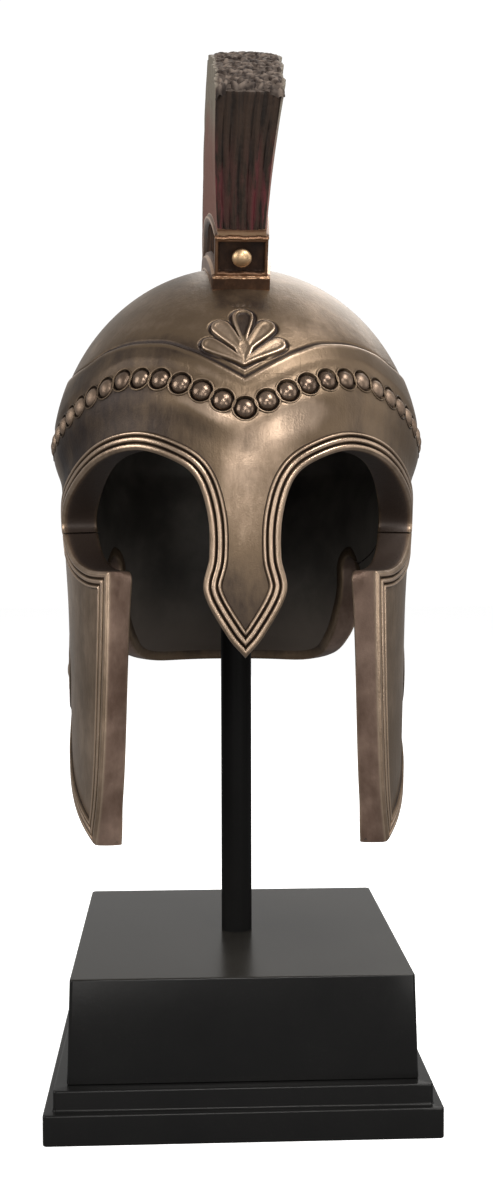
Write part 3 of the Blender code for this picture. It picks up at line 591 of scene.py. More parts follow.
WHOLE_EDGE = np.vstack([EDGE, mirrored(EDGE[::-1])])
INTO = into_wall(EDGE)
ROOM = room(EDGE, INTO, np.vstack([EDGE, mirrored(EDGE[:60])]), FREE_ROOM)
ROOM[CORNERS] = FREE_ROOM
to_middle = np.where(INTO[:, 0] < -1e-3, EDGE[:, 0] / np.maximum(-INTO[:, 0], 1e-3), 99.0)
ROOM = np.minimum(ROOM, np.where(EDGE[:, 1] < 0.0, np.maximum(to_middle, 0.0), 99.0))
ROOM[0] = FREE_ROOM
print("room for the border: %.1f to %.1f mm" % (ROOM.min(), ROOM.max()))

# %% [markdown]
# ## The sawn face
# The openings were sawn through the thick wall, so each edge has a smooth flat face
# that leads in to the lining.  In front the saw points to a centre inside the helmet,
# behind the cheek pieces it goes straight across, and round the nape it points to the
# rod.  Where the face meets the lining is found by halving steps along the saw's way.

# %% Directions of the cut and the inner edge
TIP_BLEND = (CHEEK_TIP - 22.0, CHEEK_TIP + 5.0)
NAPE_BLEND = (30.0, 57.0)
CORNER_WEAR, CORNER_REACH = 0.9, 2.6


def cut_directions(path):
    """Level directions of the sawn face: to a centre in front, across behind, in at the nape."""
    centre = np.array([0.0, CUT_CENTRE_Y, 0.0])
    aim = centre - path * np.array([1.0, 1.0, 0.0])
    across = np.zeros_like(path)
    across[:, 0] = -1.0
    inwards = -path * np.array([1.0, 1.0, 0.0])
    behind = smooth(np.arange(len(path)), *TIP_BLEND)[:, None]
    nape_share = smooth(path[:, 1], *NAPE_BLEND)[:, None] * behind
    mixed = unit(aim) * (1.0 - behind) + across * behind
    return unit(mixed * (1.0 - nape_share) + unit(inwards) * nape_share)


def to_lining(path, direction):
    """Where the sawn face meets the lining: halving the step until the level radius fits."""
    low, high = np.zeros(len(path)), np.full(len(path), 14.0)
    for _ in range(24):
        middle = (low + high) / 2.0
        spot = path + direction * middle[:, None]
        out = np.hypot(spot[:, 0], spot[:, 1]) > lining_radius(angle_of(spot), spot[:, 2])
        low, high = np.where(out, middle, low), np.where(out, high, middle)
    return path + direction * high[:, None]


corner_gap = np.abs(np.arange(len(EDGE)) - TOP_CORNER) * PITCH
worn_corner = CORNER_WEAR * np.clip(1.0 - corner_gap / CORNER_REACH, 0.0, 1.0) ** 2
INNER_EDGE = (to_lining(EDGE, cut_directions(EDGE))
              + unit(INTO[TOP_CORNER]) * worn_corner[:, None])
widths = np.linalg.norm(INNER_EDGE - EDGE, axis=1)
print("sawn face: %.1f to %.1f mm wide" % (widths.min(), widths.max()))

# %% [markdown]
# ## The border's strip
# The strip has one row of points for each point of the edge path.  A row starts under
# the wall, crosses the three ridges to the lip, goes down the sawn face with a slight
# bow, and runs a little way along the lining before it turns back into the wall.
# With each point goes its relief, for the wear and, on the sawn face, for painted light and shade,
# and whether it lies on the cut.

# %% Rows of the border
ROW_PITCH, SUNK_START = 0.15, -0.9
LIP_DROP, LIP_WIDTH = 0.40, 0.55
INNER_REACH = np.array([0.35, 1.2, 2.4, 2.9, 2.9])
INNER_HEIGHT = np.array([-0.22, -0.18, -0.12, 0.0, 1.2])
INNER_RELIEF = np.array([0.45, 0.32, 0.22, 0.15, 0.1])


def border_rows(first, last):
    """Profile of the border at path points first to last: points, relief and cut values."""
    own = slice(first, last + 1)
    place = np.arange(first, last + 1)
    path, into, space = EDGE[own], INTO[own], ROOM[own]
    reach = np.concatenate([[BORDER, BORDER], np.arange(BORDER - ROW_PITCH, 0.0, -ROW_PITCH),
                            [0.06]])
    a = np.minimum(reach[None, :], space[:, None])
    height = ridge_height(a)
    height[:, 0] = SUNK_START
    outer = on_wall(face_radius, path[:, None, :] + into[:, None, :] * a[..., None],
                    height - smooth(a, LIP_WIDTH, 0.0) * LIP_DROP)
    share = np.linspace(0.0, 1.0, 11)
    bow = 0.22 * np.sin(share * math.pi) ** 0.5
    start = on_wall(face_radius, path, np.full(len(path), 0.12))
    sawn = (start[:, None, :] + (INNER_EDGE[own] - start)[:, None, :] * share[None, :, None]
            - into[:, None, :] * bow[None, :, None] * 0.6)
    inner_a = np.minimum(INNER_REACH[None, :], 0.6 * space[:, None])
    inner = on_wall(lining_radius, INNER_EDGE[own][:, None, :] + unit(into)[:, None, :]
                    * inner_a[..., None], np.broadcast_to(INNER_HEIGHT, inner_a.shape))
    lower = (smooth(place, TOP_CORNER - 6.0, TOP_CORNER + 1.0)
             * smooth(place, CHEEK_TIP + 60.0, CHEEK_TIP + 2.0))[:, None]
    nape_lip = smooth(path[:, 1], 24.0, 34.0)[:, None]
    crest = np.clip((ridge_height(a) - 0.2) / (RIDGE_HEIGHT - 0.3), 0.0, 1.0)
    shoulders = sum(bump(np.abs(a - groove) - 0.5, 0.3) for groove in GROOVES)
    outer_relief = np.clip(0.09 + 0.55 * crest + 0.32 * shoulders * crest, 0.0, 0.95)
    # On the sawn face the relief is painted light: the faces in the eyes stay dark as painted
    # shade, the cheek fronts and the nape's lip are painted pale as lit, and a painted highlight
    # runs along the inner edge.
    sawn_tone_and_light = (0.10 + 0.55 * lower + 0.38 * nape_lip + 0.10 * smooth(share, 0.86, 1.0)
                   + (0.5 - 0.3 * lower) * smooth(share, 0.14, 0.0))
    relief = np.concatenate([outer_relief, sawn_tone_and_light,
                             np.broadcast_to(INNER_RELIEF, inner_a.shape)], axis=1)
    on_cut = smooth(share, 0.0, 0.12) * smooth(share, 1.0, 0.9)
    cut = np.concatenate([np.zeros(outer.shape[1]), on_cut, np.zeros(len(INNER_REACH))])
    return (np.concatenate([outer, sawn, inner], axis=1), relief,
            np.broadcast_to(cut, relief.shape))


print("a row of the border has %d points" % border_rows(0, 0)[0].shape[1])

# %% [markdown]
# ## Where the border meets the joint
# The skull ends at a straight sloping joint, and the cheek pieces hang below it.  So
# the strip is cut in three: over the face, round the neck, and round each cheek piece.
# The last rows of a part slide up or down until its end lies along the joint.  The
# parts that cross the middle line are joined there to their mirror images.

# %% The skull's borders
def seam_index(first, last, sign):
    """First path point from first to last at which the path is below or above the joint."""
    part = EDGE[first:last]
    over = sign * (part[:, 2] - seam_height(part[:, 1]))
    return first + int(np.argmax(over < 0.0))


def to_seam(points, gap, at_end=True, rows=6):
    """Slide the last few rows up or down so that the very last lies along the joint."""
    points = points if at_end else points[::-1]
    share = np.clip((np.arange(len(points)) - (len(points) - 1 - rows)) / rows, 0.0, 1.0)
    goal = seam_height(points[-1, :, 1]) + gap
    shift = (goal - points[-1, :, 2])[None, :] * share[:, None]
    moved = points.copy()
    moved[..., 2] += shift
    return moved if at_end else moved[::-1]


def both_halves(points, *values):
    """A strip that starts on the middle line, joined there to its mirror image."""
    whole = np.concatenate([mirrored(points[:0:-1]), points])
    return (whole, *(np.concatenate([v[:0:-1], v]) for v in values))


def make_border(name, first, last, from_middle):
    """Border strip: one end joined to its mirror image in the middle, the other on the joint."""
    points, relief, cut = border_rows(first, last)
    points = to_seam(points, 0.0, at_end=from_middle)
    if not from_middle:
        points, relief, cut = points[::-1], relief[::-1], cut[::-1]
    points[0, :, 0] = 0.0
    points, relief, cut = both_halves(points, relief, cut)
    return tube(name, points, {"relief": relief, "cut": cut})


EYE_SEAM = seam_index(len(RUN_FACE) // 2, TOP_CORNER, 1.0)
EAR_SEAM = seam_index(CHEEK_TIP + 60, len(EDGE), -1.0)
print("the joint meets the edge at", EDGE[EYE_SEAM].round(1), EDGE[EAR_SEAM].round(1))
finish_piece(make_border("face_border", 0, EYE_SEAM, True), ["skull"], BRONZE)
finish_piece(make_border("neck_border", EAR_SEAM, len(EDGE) - 1, False),
             ["skull"], BRONZE)

# %% [markdown]
# ## The beads and their pits
# A row of round beads follows the brow, each in its own round pit with a raised rim.
# The beads are stepped along the bead line by their pitch.  A pit is a function of the
# distance from a bead's axis, so neighbouring pits run together into a scalloped
# channel, and the skull's surface takes that relief from this function.

# %% Places of the beads
BEAD_PITCH, BEADS_PER_SIDE = 5.35, 18
fine = np.radians(np.arange(0.0, 112.0, 0.05))
line = at(dome_radius(fine, bead_line(fine)), fine, bead_line(fine))
run = np.concatenate([[0.0], np.cumsum(np.linalg.norm(np.diff(line, axis=0), axis=1))])
bead_angles = np.interp(np.arange(BEADS_PER_SIDE + 1) * BEAD_PITCH, run, fine)
bead_angles = np.concatenate([-bead_angles[:0:-1], bead_angles])
bead_heights = bead_line(bead_angles)
BEAD_FLANK = smooth(np.abs(bead_angles), math.radians(16.0), math.radians(48.0))
BEAD_AXES = outward(dome_radius, bead_angles, bead_heights)
BEAD_SEATS = at(dome_radius(bead_angles, bead_heights), bead_angles, bead_heights)
bead_side = unit(np.cross(BEAD_AXES, [0.0, 0.0, 1.0]))
BEAD_FRAMES = np.stack([bead_side, np.cross(bead_side, BEAD_AXES), BEAD_AXES], axis=1)
print("beads:", len(bead_angles), "last at %.1f degrees" % np.degrees(bead_angles[-1]))


def from_bead_axis(points):
    """Distance of points from the nearest bead's axis: length less its part along the axis."""
    best = np.full(points.shape[:-1], 99.0)
    for seat, axis in zip(BEAD_SEATS, BEAD_AXES):
        gap = points - seat
        along = (gap * axis).sum(axis=-1)
        away = np.sqrt(np.maximum((gap ** 2).sum(axis=-1) - along ** 2, 0.0))
        best = np.where(along > -8.0, np.minimum(best, away), best)
    return best


def on_seats(shapes, sink):
    """Grids of points in the beads' own frames, set on their seats and sunk into the wall."""
    centres = BEAD_SEATS - BEAD_AXES * sink
    return np.einsum("brck,bkj->brcj", shapes, BEAD_FRAMES) + centres[:, None, None, :]


def at_every_bead(faces, count):
    """The faces of one bead, given by corner numbers, repeated for all of them."""
    return [[corner + count * k for corner in face]
            for k in range(len(BEAD_SEATS)) for face in faces]

# %% [markdown]
# ## Beads and rims as meshes
# A bead is a flattened ball, dark at its foot.  The outer beads are a little taller,
# paler and duller, and their rims darker.  A rim is a thin ring round the pit.  One ball
# and one ring are worked out, and a product of arrays turns them to all the seats at once.

# %% Beads and rims
BEAD_RADIUS, BEAD_DOME, BEAD_SINK = 2.26, 1.75, 0.85
RIM_RADIUS, RIM_THICKNESS, RIM_SINK = 2.86, 0.20, 0.04


def make_beads():
    """Low round domes: a flattened ball for each seat, all in one mesh, darker at the foot."""
    rows, columns = 15, 24
    lift = np.linspace(-0.35, 1.0, rows) * math.pi / 2.0
    turn = np.linspace(0.0, 2.0 * math.pi, columns, endpoint=False)
    ball = np.stack([np.outer(np.cos(lift), np.cos(turn)), np.outer(np.cos(lift), np.sin(turn)),
                     np.repeat(np.sin(lift)[:, None], columns, axis=1)], axis=-1)
    sizes = np.stack([BEAD_RADIUS - 0.04 * BEAD_FLANK, BEAD_RADIUS + 0.12 * BEAD_FLANK,
                      np.full(len(BEAD_FLANK), BEAD_DOME)], axis=-1)
    points = on_seats(ball[None] * sizes[:, None, None, :], BEAD_SINK)
    faces = grid_quads(rows, columns, wrap_columns=True).reshape(-1, 4).tolist()
    faces += cap_faces(0, columns)
    level = (0.05 + 0.50 * smooth(lift, 0.0, 0.60))[None, :, None]
    flank = BEAD_FLANK[:, None, None]
    relief = np.broadcast_to(level + 0.06 * flank, points.shape[:-1])
    dull = np.broadcast_to(flank, points.shape[:-1])
    return put_mesh("beads", points, at_every_bead(faces, rows * columns),
                    {"relief": relief, "cut": relief * 0.0, "dull": dull})


def make_rims():
    """Thin raised ring round every pit: a small circle carried round a larger one."""
    rows, columns = 40, 8
    around = np.linspace(0.0, 2.0 * math.pi, rows, endpoint=False)[:, None]
    across = np.linspace(0.0, 2.0 * math.pi, columns, endpoint=False)[None, :]
    radius = RIM_RADIUS + RIM_THICKNESS * np.cos(across)
    ring = np.stack([radius * np.cos(around), radius * np.sin(around),
                     RIM_THICKNESS * np.sin(across) + 0.0 * around], axis=-1)
    points = on_seats(np.broadcast_to(ring, (len(BEAD_SEATS), *ring.shape)), RIM_SINK)
    faces = grid_quads(rows, columns, wrap_rows=True, wrap_columns=True).reshape(-1, 4)
    relief = 0.42 + 0.15 * np.sin(across) - 0.30 * BEAD_FLANK[:, None, None]
    relief = np.broadcast_to(relief, points.shape[:-1])
    return put_mesh("bead_rims", points, at_every_bead(faces.tolist(), rows * columns),
                    {"relief": relief, "cut": relief * 0.0})


bead_nodes = ["bead_middle"] + ["bead_%s_%02d" % (side, k) for side in ("left", "right")
                                for k in range(1, BEADS_PER_SIDE + 1)]
finish_piece(make_beads(), bead_nodes, DARK_BRONZE)
finish_piece(make_rims(), ["skull"], BRONZE)

# %% [markdown]
# ## The skull
# One fine grid covers the dome, the brow, the nose guard and the neck guard.  Its
# columns are close together in front, where the ornament is.  Its rows follow the
# joint above the cheek pieces, then the bead line and the ridge line, and climb the
# dome evenly to its top.  The brow's relief is added along the outward direction:
# pits, a soft convex band, a sharp ridge, a groove and a thin fillet.  Cells in the
# openings are left out, and the raised border hides the cut ends of the grid.

# %% Which cells are left out, and where the rows run
EDGE_ZONE_TOP = 168.0
SKIN_MARGIN, LINING_MARGIN = 1.5, 0.7
JOINT_LEVEL, JOINT_SPAN = 139.0, (-46.0, 25.5)
WALL_BOTTOM = 103.2
CHEEK_FROM, CHEEK_TO, CHEEK_LINING_TO = 18.0, 123.2, 122.5
FRONT_OUTLINE = np.vstack([FACE_FLAT, FRONT_FLAT[1:], [[36.5, 50.0]]])
FRONT_OUTLINE = np.vstack([FRONT_OUTLINE, FRONT_OUTLINE[::-1] * [-1.0, 1.0]])
SIDE_OUTLINE = np.vstack([[[-90.0, 40.0], [-90.0, 60.0]], SIDE_FLAT,
                          [[90.0, GUARD_BOTTOM], [90.0, 40.0]]])


def within(first, second, outline):
    """Whether flat points lie in an outline: an odd number of its sides is crossed."""
    inside = np.zeros(first.shape, bool)
    for (a, b), (c, d) in zip(outline, np.roll(outline, -1, axis=0)):
        spans = (b > second) != (d > second)
        place = a + (c - a) * (second - b) / (d - b if abs(d - b) > 1e-9 else 1e-9)
        inside ^= spans & (first < place)
    return inside


def solid_wall(points, margin, edge):
    """Where the wall is whole: outside both openings and further than a margin from the edge."""
    front = (points[..., 1] < 0.0) & within(points[..., 0], points[..., 2], FRONT_OUTLINE)
    side = within(points[..., 1], points[..., 2], SIDE_OUTLINE)
    low = points[..., 2] < EDGE_ZONE_TOP
    far = np.ones(points.shape[:-1], bool)
    far[low] = nearest(points[low], edge[::2]) > margin
    return ~front & ~side & far


def cells_where(kept, wrap_columns):
    """Cells of a grid whose four corners are all kept."""
    rows, columns = kept.shape
    quads = grid_quads(rows, columns, wrap_columns=wrap_columns)
    return quads, kept.reshape(-1)[quads].all(axis=-1)


def between(low, high, count, last=False):
    """Rows of heights from low towards high, the last one left to the next band or kept."""
    share = np.arange(count + (1 if last else 0)) / count
    return low + (high - low) * share[:, None]


def turned(degrees):
    """Angles in radians, brought to the range from -pi to pi."""
    return (np.radians(degrees) + math.pi) % (2.0 * math.pi) - math.pi


def joint_line(angle):
    """Height of the joint round the wall, held level past its ends."""
    y = -wall_radius(angle, np.full(angle.shape, JOINT_LEVEL)) * np.cos(angle)
    return seam_height(np.clip(y, *JOINT_SPAN))


def dome_heights(low, top, shares):
    """Heights that climb a dome evenly in angle from low to its top."""
    rise = top - DOME_CENTRE
    start = np.arcsin((low - DOME_CENTRE) / rise)
    return DOME_CENTRE + rise * np.sin(start + (math.pi / 2.0 - start) * shares[:, None])


print("outline of the face opening: %d points" % len(FRONT_OUTLINE))

# %% [markdown]
# ## Relief, wear and painted light of the brow
# The front's tone is uneven: the bridge of the nose and three patches by the beads are
# painted highlights where the front lights reflect, laid over rubbed wear, the left of
# the forehead is darkened as painted shade, and the temples and the tip of the nose
# guard are darker.  Each patch is a bell curve of the distance from its middle.  The
# same function that gives the ornament's height gives the wear of its edges and grooves.

# %% Relief, wear and painted light of the brow
WEAR_LIMIT = 0.82


def patch(x, y, middle_x, middle_y, width, height):
    """Bell curve over a plane: 1 in the middle, exp(-1) at the width or the height from it."""
    return np.exp(-((x - middle_x) / width) ** 2 - ((y - middle_y) / height) ** 2)


def rubbed_and_painted_light(x, z, low):
    """Painted highlights on the bridge and by the beads over rubbed wear, painted shade on the
    left, darker flanks and tip.
    """
    # bridge, left, right and band: painted highlights where the front lights reflect
    bridge = patch(x, z, -1.5, 155.0, 5.5, 8.0)
    left = patch(x, low, -9.5, -3.6, 6.5, 1.9)
    right = patch(x, low, 12.0, -7.0, 7.0, 3.4)
    band = patch(x, low, -9.0, 4.6, 6.5, 1.7)
    flank = smooth(np.abs(x + 1.0), 12.0, 22.0) * smooth(low, -0.5, -3.0)
    # dull darkens the left of the forehead as painted shade, and the band above the beads a little
    dull = 0.24 * smooth(x, 4.0, -14.0) + 0.10 * smooth(low, 2.0, 3.5) * smooth(low, 12.0, 8.0)
    tip = smooth(z, 147.0, 128.0) * smooth(low, -10.0, -20.0)
    return (0.26 * bridge + 0.62 * left + 0.60 * right + 0.36 * band - 0.20 * flank
            - 0.34 * tip - dull * smooth(low, -30.0, -20.0) * smooth(low, 14.0, 9.0))


def brow_relief(points, angle, z):
    """Height of the brow's ornament above the wall, and the wear that its forms take, with painted
    highlights and shade on the front.
    """
    shown = 1.0 - smooth(np.abs(np.degrees(angle)), CHANNEL_END, CHANNEL_END + CHANNEL_FADE)
    axis_gap = from_bead_axis(points)
    low, above = z - bead_line(angle), z - ridge_line(angle)
    pit = smooth(axis_gap, 2.80, 2.50)
    band = smooth(low, 2.4, 5.0) * smooth(above, -0.1, -1.1)
    groove = bump(above, 0.55)
    middle = smooth(np.abs(points[..., 0]), 11.5, 9.0)
    fillet = bump(above - 1.25, 0.5) * middle
    height = (-1.15 * pit + 0.5 * band - 0.38 * groove + 0.3 * fillet) * shown
    edge = bump(above + 1.0, 0.9) * smooth(low, 3.0, 5.5)
    wear = (0.52 + (0.30 * edge + 0.36 * fillet - 0.50 * pit - 0.46 * groove) * shown
            + rubbed_and_painted_light(points[..., 0], z, low) * smooth(points[..., 1], 0.0, -24.0))
    return height, np.clip(wear, 0.0, WEAR_LIMIT)


print("wear of the bridge: %.2f" % (0.52 + rubbed_and_painted_light(0.0, 155.0, -20.0)))

# %% [markdown]
# ## The palmette
# Five flat petals fan out over the forehead and run together at their foot.  Each is a
# drop: a circle whose radius changes along a line, so the distance inside it is a short
# formula, and the palmette is the largest of those distances.  The skull dips under the
# ornament, and a patch of very small cells carries the forehead's own relief on round it.

# %% The palmette's outline
PALMETTE_TIP, ARC_RADIUS = 179.2, 53.0
TIP_CLIMB = math.asin((PALMETTE_TIP - DOME_CENTRE) / (DOME_TOP - DOME_CENTRE))
PETALS = (                 # foot x and up, head x and up, radius at foot and head; plate last
    (0.0, 1.15, 7.6, 6.1, 1.0, 2.0),
    (0.0, 3.9, 5.1, 11.3, 1.1, 2.3),
    (0.0, 6.6, 0.1, 14.9, 1.0, 2.45),
    (0.0, 1.2, 0.0, 5.4, 1.05, 2.2),
)


def petal_depth(x, up, petal):
    """Distance inside a drop-shaped petal: its radius less the distance from its middle line."""
    foot_x, foot_up, head_x, head_up, foot_radius, head_radius = petal
    run_x, run_up = head_x - foot_x, head_up - foot_up
    share = ((x - foot_x) * run_x + (up - foot_up) * run_up) / (run_x ** 2 + run_up ** 2)
    share = np.clip(share, 0.0, 1.0)
    away = np.hypot(x - foot_x - share * run_x, up - foot_up - share * run_up)
    return foot_radius + (head_radius - foot_radius) * smooth(share, 0.0, 1.0) - away


def palmette_depth(x, up):
    """Distance inside the palmette, which is the same on both sides."""
    return np.max([petal_depth(np.abs(x), up, petal) for petal in PETALS], axis=0)


def climb_of(z):
    """Arc length up the forehead from the palmette's lower tip."""
    rise = np.clip((z - DOME_CENTRE) / (DOME_TOP - DOME_CENTRE), -1.0, 1.0)
    return (np.arcsin(rise) - TIP_CLIMB) * ARC_RADIUS


def forehead_shade(x, up):
    """Painted shade under the crest holder, running down round the palmette's upper petals."""
    under = smooth(np.abs(x), 9.0, 4.5) * smooth(up, 13.0, 20.0) * smooth(up, 36.0, 30.0)
    round_top = 0.5 * smooth(np.hypot(x / 9.0, (up - 13.0) / 6.0), 1.15, 0.7)
    return 0.28 * np.maximum(under, round_top)


print("depth inside the top petal: %.2f mm" % palmette_depth(0.0, 15.0))

# %% [markdown]
# ## The skull's skin
# Now the rows are stacked from the lower edge up to the crown, the relief is added and
# the cells in the openings are left out.  The last ring is closed by one flat face,
# which lies hidden under the crest holder.

# %% The skull's outer surface
FINE_SECTOR, FINE_STEP, COARSE_COLUMNS = 106.0, 0.44, 110


def make_skull():
    """The skull's skin: base wall, relief along the outward direction, openings left out."""
    fine = np.arange(-FINE_SECTOR, FINE_SECTOR, FINE_STEP)
    coarse = np.linspace(FINE_SECTOR, 360.0 - FINE_SECTOR, COARSE_COLUMNS, endpoint=False)
    angle = turned(np.concatenate([fine, coarse]))
    seam, beads_at, ridge = joint_line(angle), bead_line(angle), ridge_line(angle)
    below = between(np.full(angle.shape, WALL_BOTTOM), seam, 32)
    rows = np.vstack([below, between(seam, beads_at - 4.8, 24),
                      between(beads_at - 4.8, beads_at + 3.8, 27),
                      between(beads_at + 3.8, ridge - 1.3, 14),
                      between(ridge - 1.3, ridge + 3.0, 17),
                      dome_heights(ridge + 3.0, DOME_TOP, np.linspace(0.0, 0.985, 44))])
    angle = np.broadcast_to(angle, rows.shape)
    base = at(wall_radius(angle, rows), angle, rows)
    height, wear = brow_relief(base, angle, rows)
    up = climb_of(rows)
    front = base[..., 1] < 0.0
    depth = np.where(front, palmette_depth(base[..., 0], up), -9.0)
    height = height - 0.8 * smooth(depth, -1.5, -0.9)
    wear = wear - forehead_shade(base[..., 0], up) * front
    points = base + outward(wall_radius, angle, rows) * height[..., None]
    quads, shown = cells_where(solid_wall(base, SKIN_MARGIN, WHOLE_EDGE), True)
    sector = np.abs(np.degrees(angle[0]))
    shown[:len(below), :] &= (sector <= CHEEK_FROM) | (sector >= CHEEK_TO)
    faces = quads[shown].tolist()
    faces += cap_faces((len(rows) - 1) * rows.shape[1], rows.shape[1])
    return put_mesh("skull_skin", points, faces, {"relief": wear, "cut": wear * 0.0},
                    fix_normals=False)


finish_piece(make_skull(), ["skull"], BRONZE)

# %% [markdown]
# ## The lining
# Inside, the casting is plain and nearly black, and browner down at its lower lip.
# The lining is a coarser grid that faces the hollow.  It is cut along the same
# openings, but by the lines along which they were sawn: from a centre in front, and
# straight across behind.

# %% The dark finish of the inside
def make_hollow():
    """Dark inside of the casting, browner and lighter down towards its lower lip."""
    finish = Finish("hollow")
    patches = finish.noise(60.0, 4.0, 0.6)
    height = finish.maker.node("ShaderNodeSeparateXYZ", None, Vector=finish.place).output("Z")
    dark = patches.step(0.3, 0.75).blend((0.035, 0.031, 0.027), (0.085, 0.075, 0.065))
    colour = height.step(0.134, 0.104).blend(dark, (0.085, 0.066, 0.052))
    finish.set(Base_Color=colour, Metallic=0.15, Roughness=0.58)
    finish.raise_surface(patches, 0.3, 0.0008)
    return finish.material


HOLLOW = make_hollow()
print("finish of the inside:", HOLLOW.name)


# %% The inner wall
def seen_from_centre(points):
    """Where lines from the sawing centre through inner points meet the outer wall."""
    centre = np.zeros_like(points)
    centre[..., 1] = CUT_CENTRE_Y
    centre[..., 2] = points[..., 2]
    aim = unit(points - centre)
    low, high = np.zeros(points.shape[:-1]), np.full(points.shape[:-1], 95.0)
    for _ in range(22):
        middle = (low + high) / 2.0
        spot = centre + aim * middle[..., None]
        out = np.hypot(spot[..., 0], spot[..., 1]) > face_radius(angle_of(spot), spot[..., 2])
        low, high = np.where(out, low, middle), np.where(out, middle, high)
    return centre + aim * low[..., None]


def solid_lining(points, margin):
    """Where the lining is whole, tested through the outer wall in front and straight behind."""
    outer = seen_from_centre(points)
    front = (outer[..., 1] < 0.0) & within(outer[..., 0], outer[..., 2], FRONT_OUTLINE)
    side = within(points[..., 1], points[..., 2], SIDE_OUTLINE)
    inner_edge = np.vstack([INNER_EDGE, mirrored(INNER_EDGE)])[::2]
    far = np.ones(points.shape[:-1], bool)
    low = points[..., 2] < EDGE_ZONE_TOP
    far[low] = nearest(points[low], inner_edge) > margin
    return ~front & ~side & far


def make_lining():
    """Inner wall of the skull, facing the hollow."""
    angle = turned(np.arange(0.0, 360.0, 1.0))
    seam = joint_line(angle)
    centre = np.full(angle.shape, DOME_CENTRE)
    below = between(np.full(angle.shape, WALL_BOTTOM), seam, 60)
    rows = np.vstack([below, between(seam, centre, 30),
                      dome_heights(centre, INNER_TOP, np.linspace(0.0, 0.97, 34))])
    angle = np.broadcast_to(angle, rows.shape)
    points = at(lining_radius(angle, rows), angle, rows)
    quads, shown = cells_where(solid_lining(points, LINING_MARGIN), True)
    sector = np.abs(np.degrees(angle[0]))
    shown[:len(below), :] &= (sector <= CHEEK_FROM) | (sector >= CHEEK_LINING_TO)
    faces = quads[shown].tolist() + cap_faces((len(rows) - 1) * rows.shape[1], rows.shape[1])
    faces = [face[::-1] for face in faces]
    return put_mesh("skull_lining", points, faces, fix_normals=False)


finish_piece(make_lining(), ["skull"], HOLLOW)

# %% [markdown]
# ## The boss and the joint strips
# A boss under the crown takes the rod, and is a profile turned round the rod's axis.
# A thin strip behind each joint closes the fine gap between the skull and the cheek
# piece: its four corners are carried along the joint from the eye to the ear.

# %% The rod's boss and the strips behind the joints
JOINT_SECTOR, JOINT_STEPS = (70.5, 117.5), 60
BOSS_PROFILE = [(0.0, 206.6), (8.0, 206.6), (8.0, 189.4), (7.6, 189.0), (4.4, 189.0),
                (4.4, 192.0), (0.0, 192.0)]


def make_joint(name, side):
    """Closed strip behind the joint: four corners carried along it from eye to ear."""
    angle = np.radians(np.linspace(*JOINT_SECTOR, JOINT_STEPS))
    level = np.full(angle.shape, JOINT_LEVEL)
    height = seam_height(-wall_radius(angle, level) * np.cos(angle))
    corners = []
    for drop, depth in ((-1.6, 1.0), (1.4, 1.0), (1.4, 2.2), (-1.6, 2.2)):
        z = height + drop
        corners.append(at(face_radius(angle, z) - depth, angle, z))
    rings = np.stack(corners, axis=1)
    return tube(name, rings if side > 0 else mirrored(rings))


finish_piece(revolve("rod_boss", BOSS_PROFILE, sides=48), ["skull"], HOLLOW)
for side_name, side in (("right", 1), ("left", -1)):
    finish_piece(make_joint("joint_" + side_name, side), ["skull"], HOLLOW)

# %% [markdown]
# ## The cheek pieces
# Each cheek piece hangs below the joint: a smooth slightly curved plate inside its
# three-ridged border, with a round medallion on its flank.  It is made of the same
# grids and the same border strip as the skull, stops a hair below the joint, and is
# mirrored for the left.  The left plate is a little paler than the right.

# %% Cheek plates
JOINT_GAP, CHEEK_BOTTOM = 0.3, 62.0


def cheek_grid(degrees, count, radius_function):
    """Points of a cheek piece's wall, inner or outer, in rows that end at the joint."""
    angle = np.radians(degrees)
    rows = between(np.full(angle.shape, CHEEK_BOTTOM), joint_line(angle) - JOINT_GAP, count,
                   last=True)
    angle = np.broadcast_to(angle, rows.shape)
    return at(radius_function(angle, rows), angle, rows)


def make_cheek_skin(name, side):
    """Outer plate of a cheek piece, up to the joint."""
    points = cheek_grid(np.arange(26.0, 134.0, 0.7), 100, face_radius)
    quads, shown = cells_where(solid_wall(points, SKIN_MARGIN, EDGE), False)
    faces = quads[shown]
    if side < 0:
        points, faces = mirrored(points), faces[:, ::-1]
    wear = np.full(points.shape[:-1], 0.53 - 0.05 * side)
    return put_mesh(name, points, faces.tolist(), {"relief": wear, "cut": wear * 0.0},
                    fix_normals=False)


def make_cheek_lining(name, side):
    """Inner face of a cheek piece."""
    points = cheek_grid(np.arange(20.0, 140.0, 1.3), 62, lining_radius)
    quads, shown = cells_where(solid_lining(points, LINING_MARGIN), False)
    faces = quads[shown][:, ::-1]
    if side < 0:
        points, faces = mirrored(points), faces[:, ::-1]
    return put_mesh(name, points, faces.tolist(), fix_normals=False)


def make_cheek_border(name, side):
    """Border round a cheek piece, from the joint at the eye to the joint at the ear."""
    points, relief, cut = border_rows(EYE_SEAM, EAR_SEAM)
    points = to_seam(to_seam(points, -JOINT_GAP), -JOINT_GAP, at_end=False)
    points = points if side > 0 else mirrored(points)
    return tube(name, points, {"relief": relief, "cut": cut})


print("the cheek pieces end %.1f mm below the joint" % JOINT_GAP)

# %% [markdown]
# ## The medallions
# The disc on each flank is cast in relief: a rolled border, eight lobes and a domed
# middle.  On a polar grid its height is a sum of short functions of the radius, and
# the lobes' length swings with the cosine of eight times the angle.

# %% Medallions and all pieces of the cheeks
MEDALLION_PLACE, MEDALLION_TURN, LOBES = (-3.0, 107.0), 4.0, 8
MEDALLION_RADIUS, ROLL_RADIUS, MIDDLE_RADIUS = 10.4, 9.3, 2.3


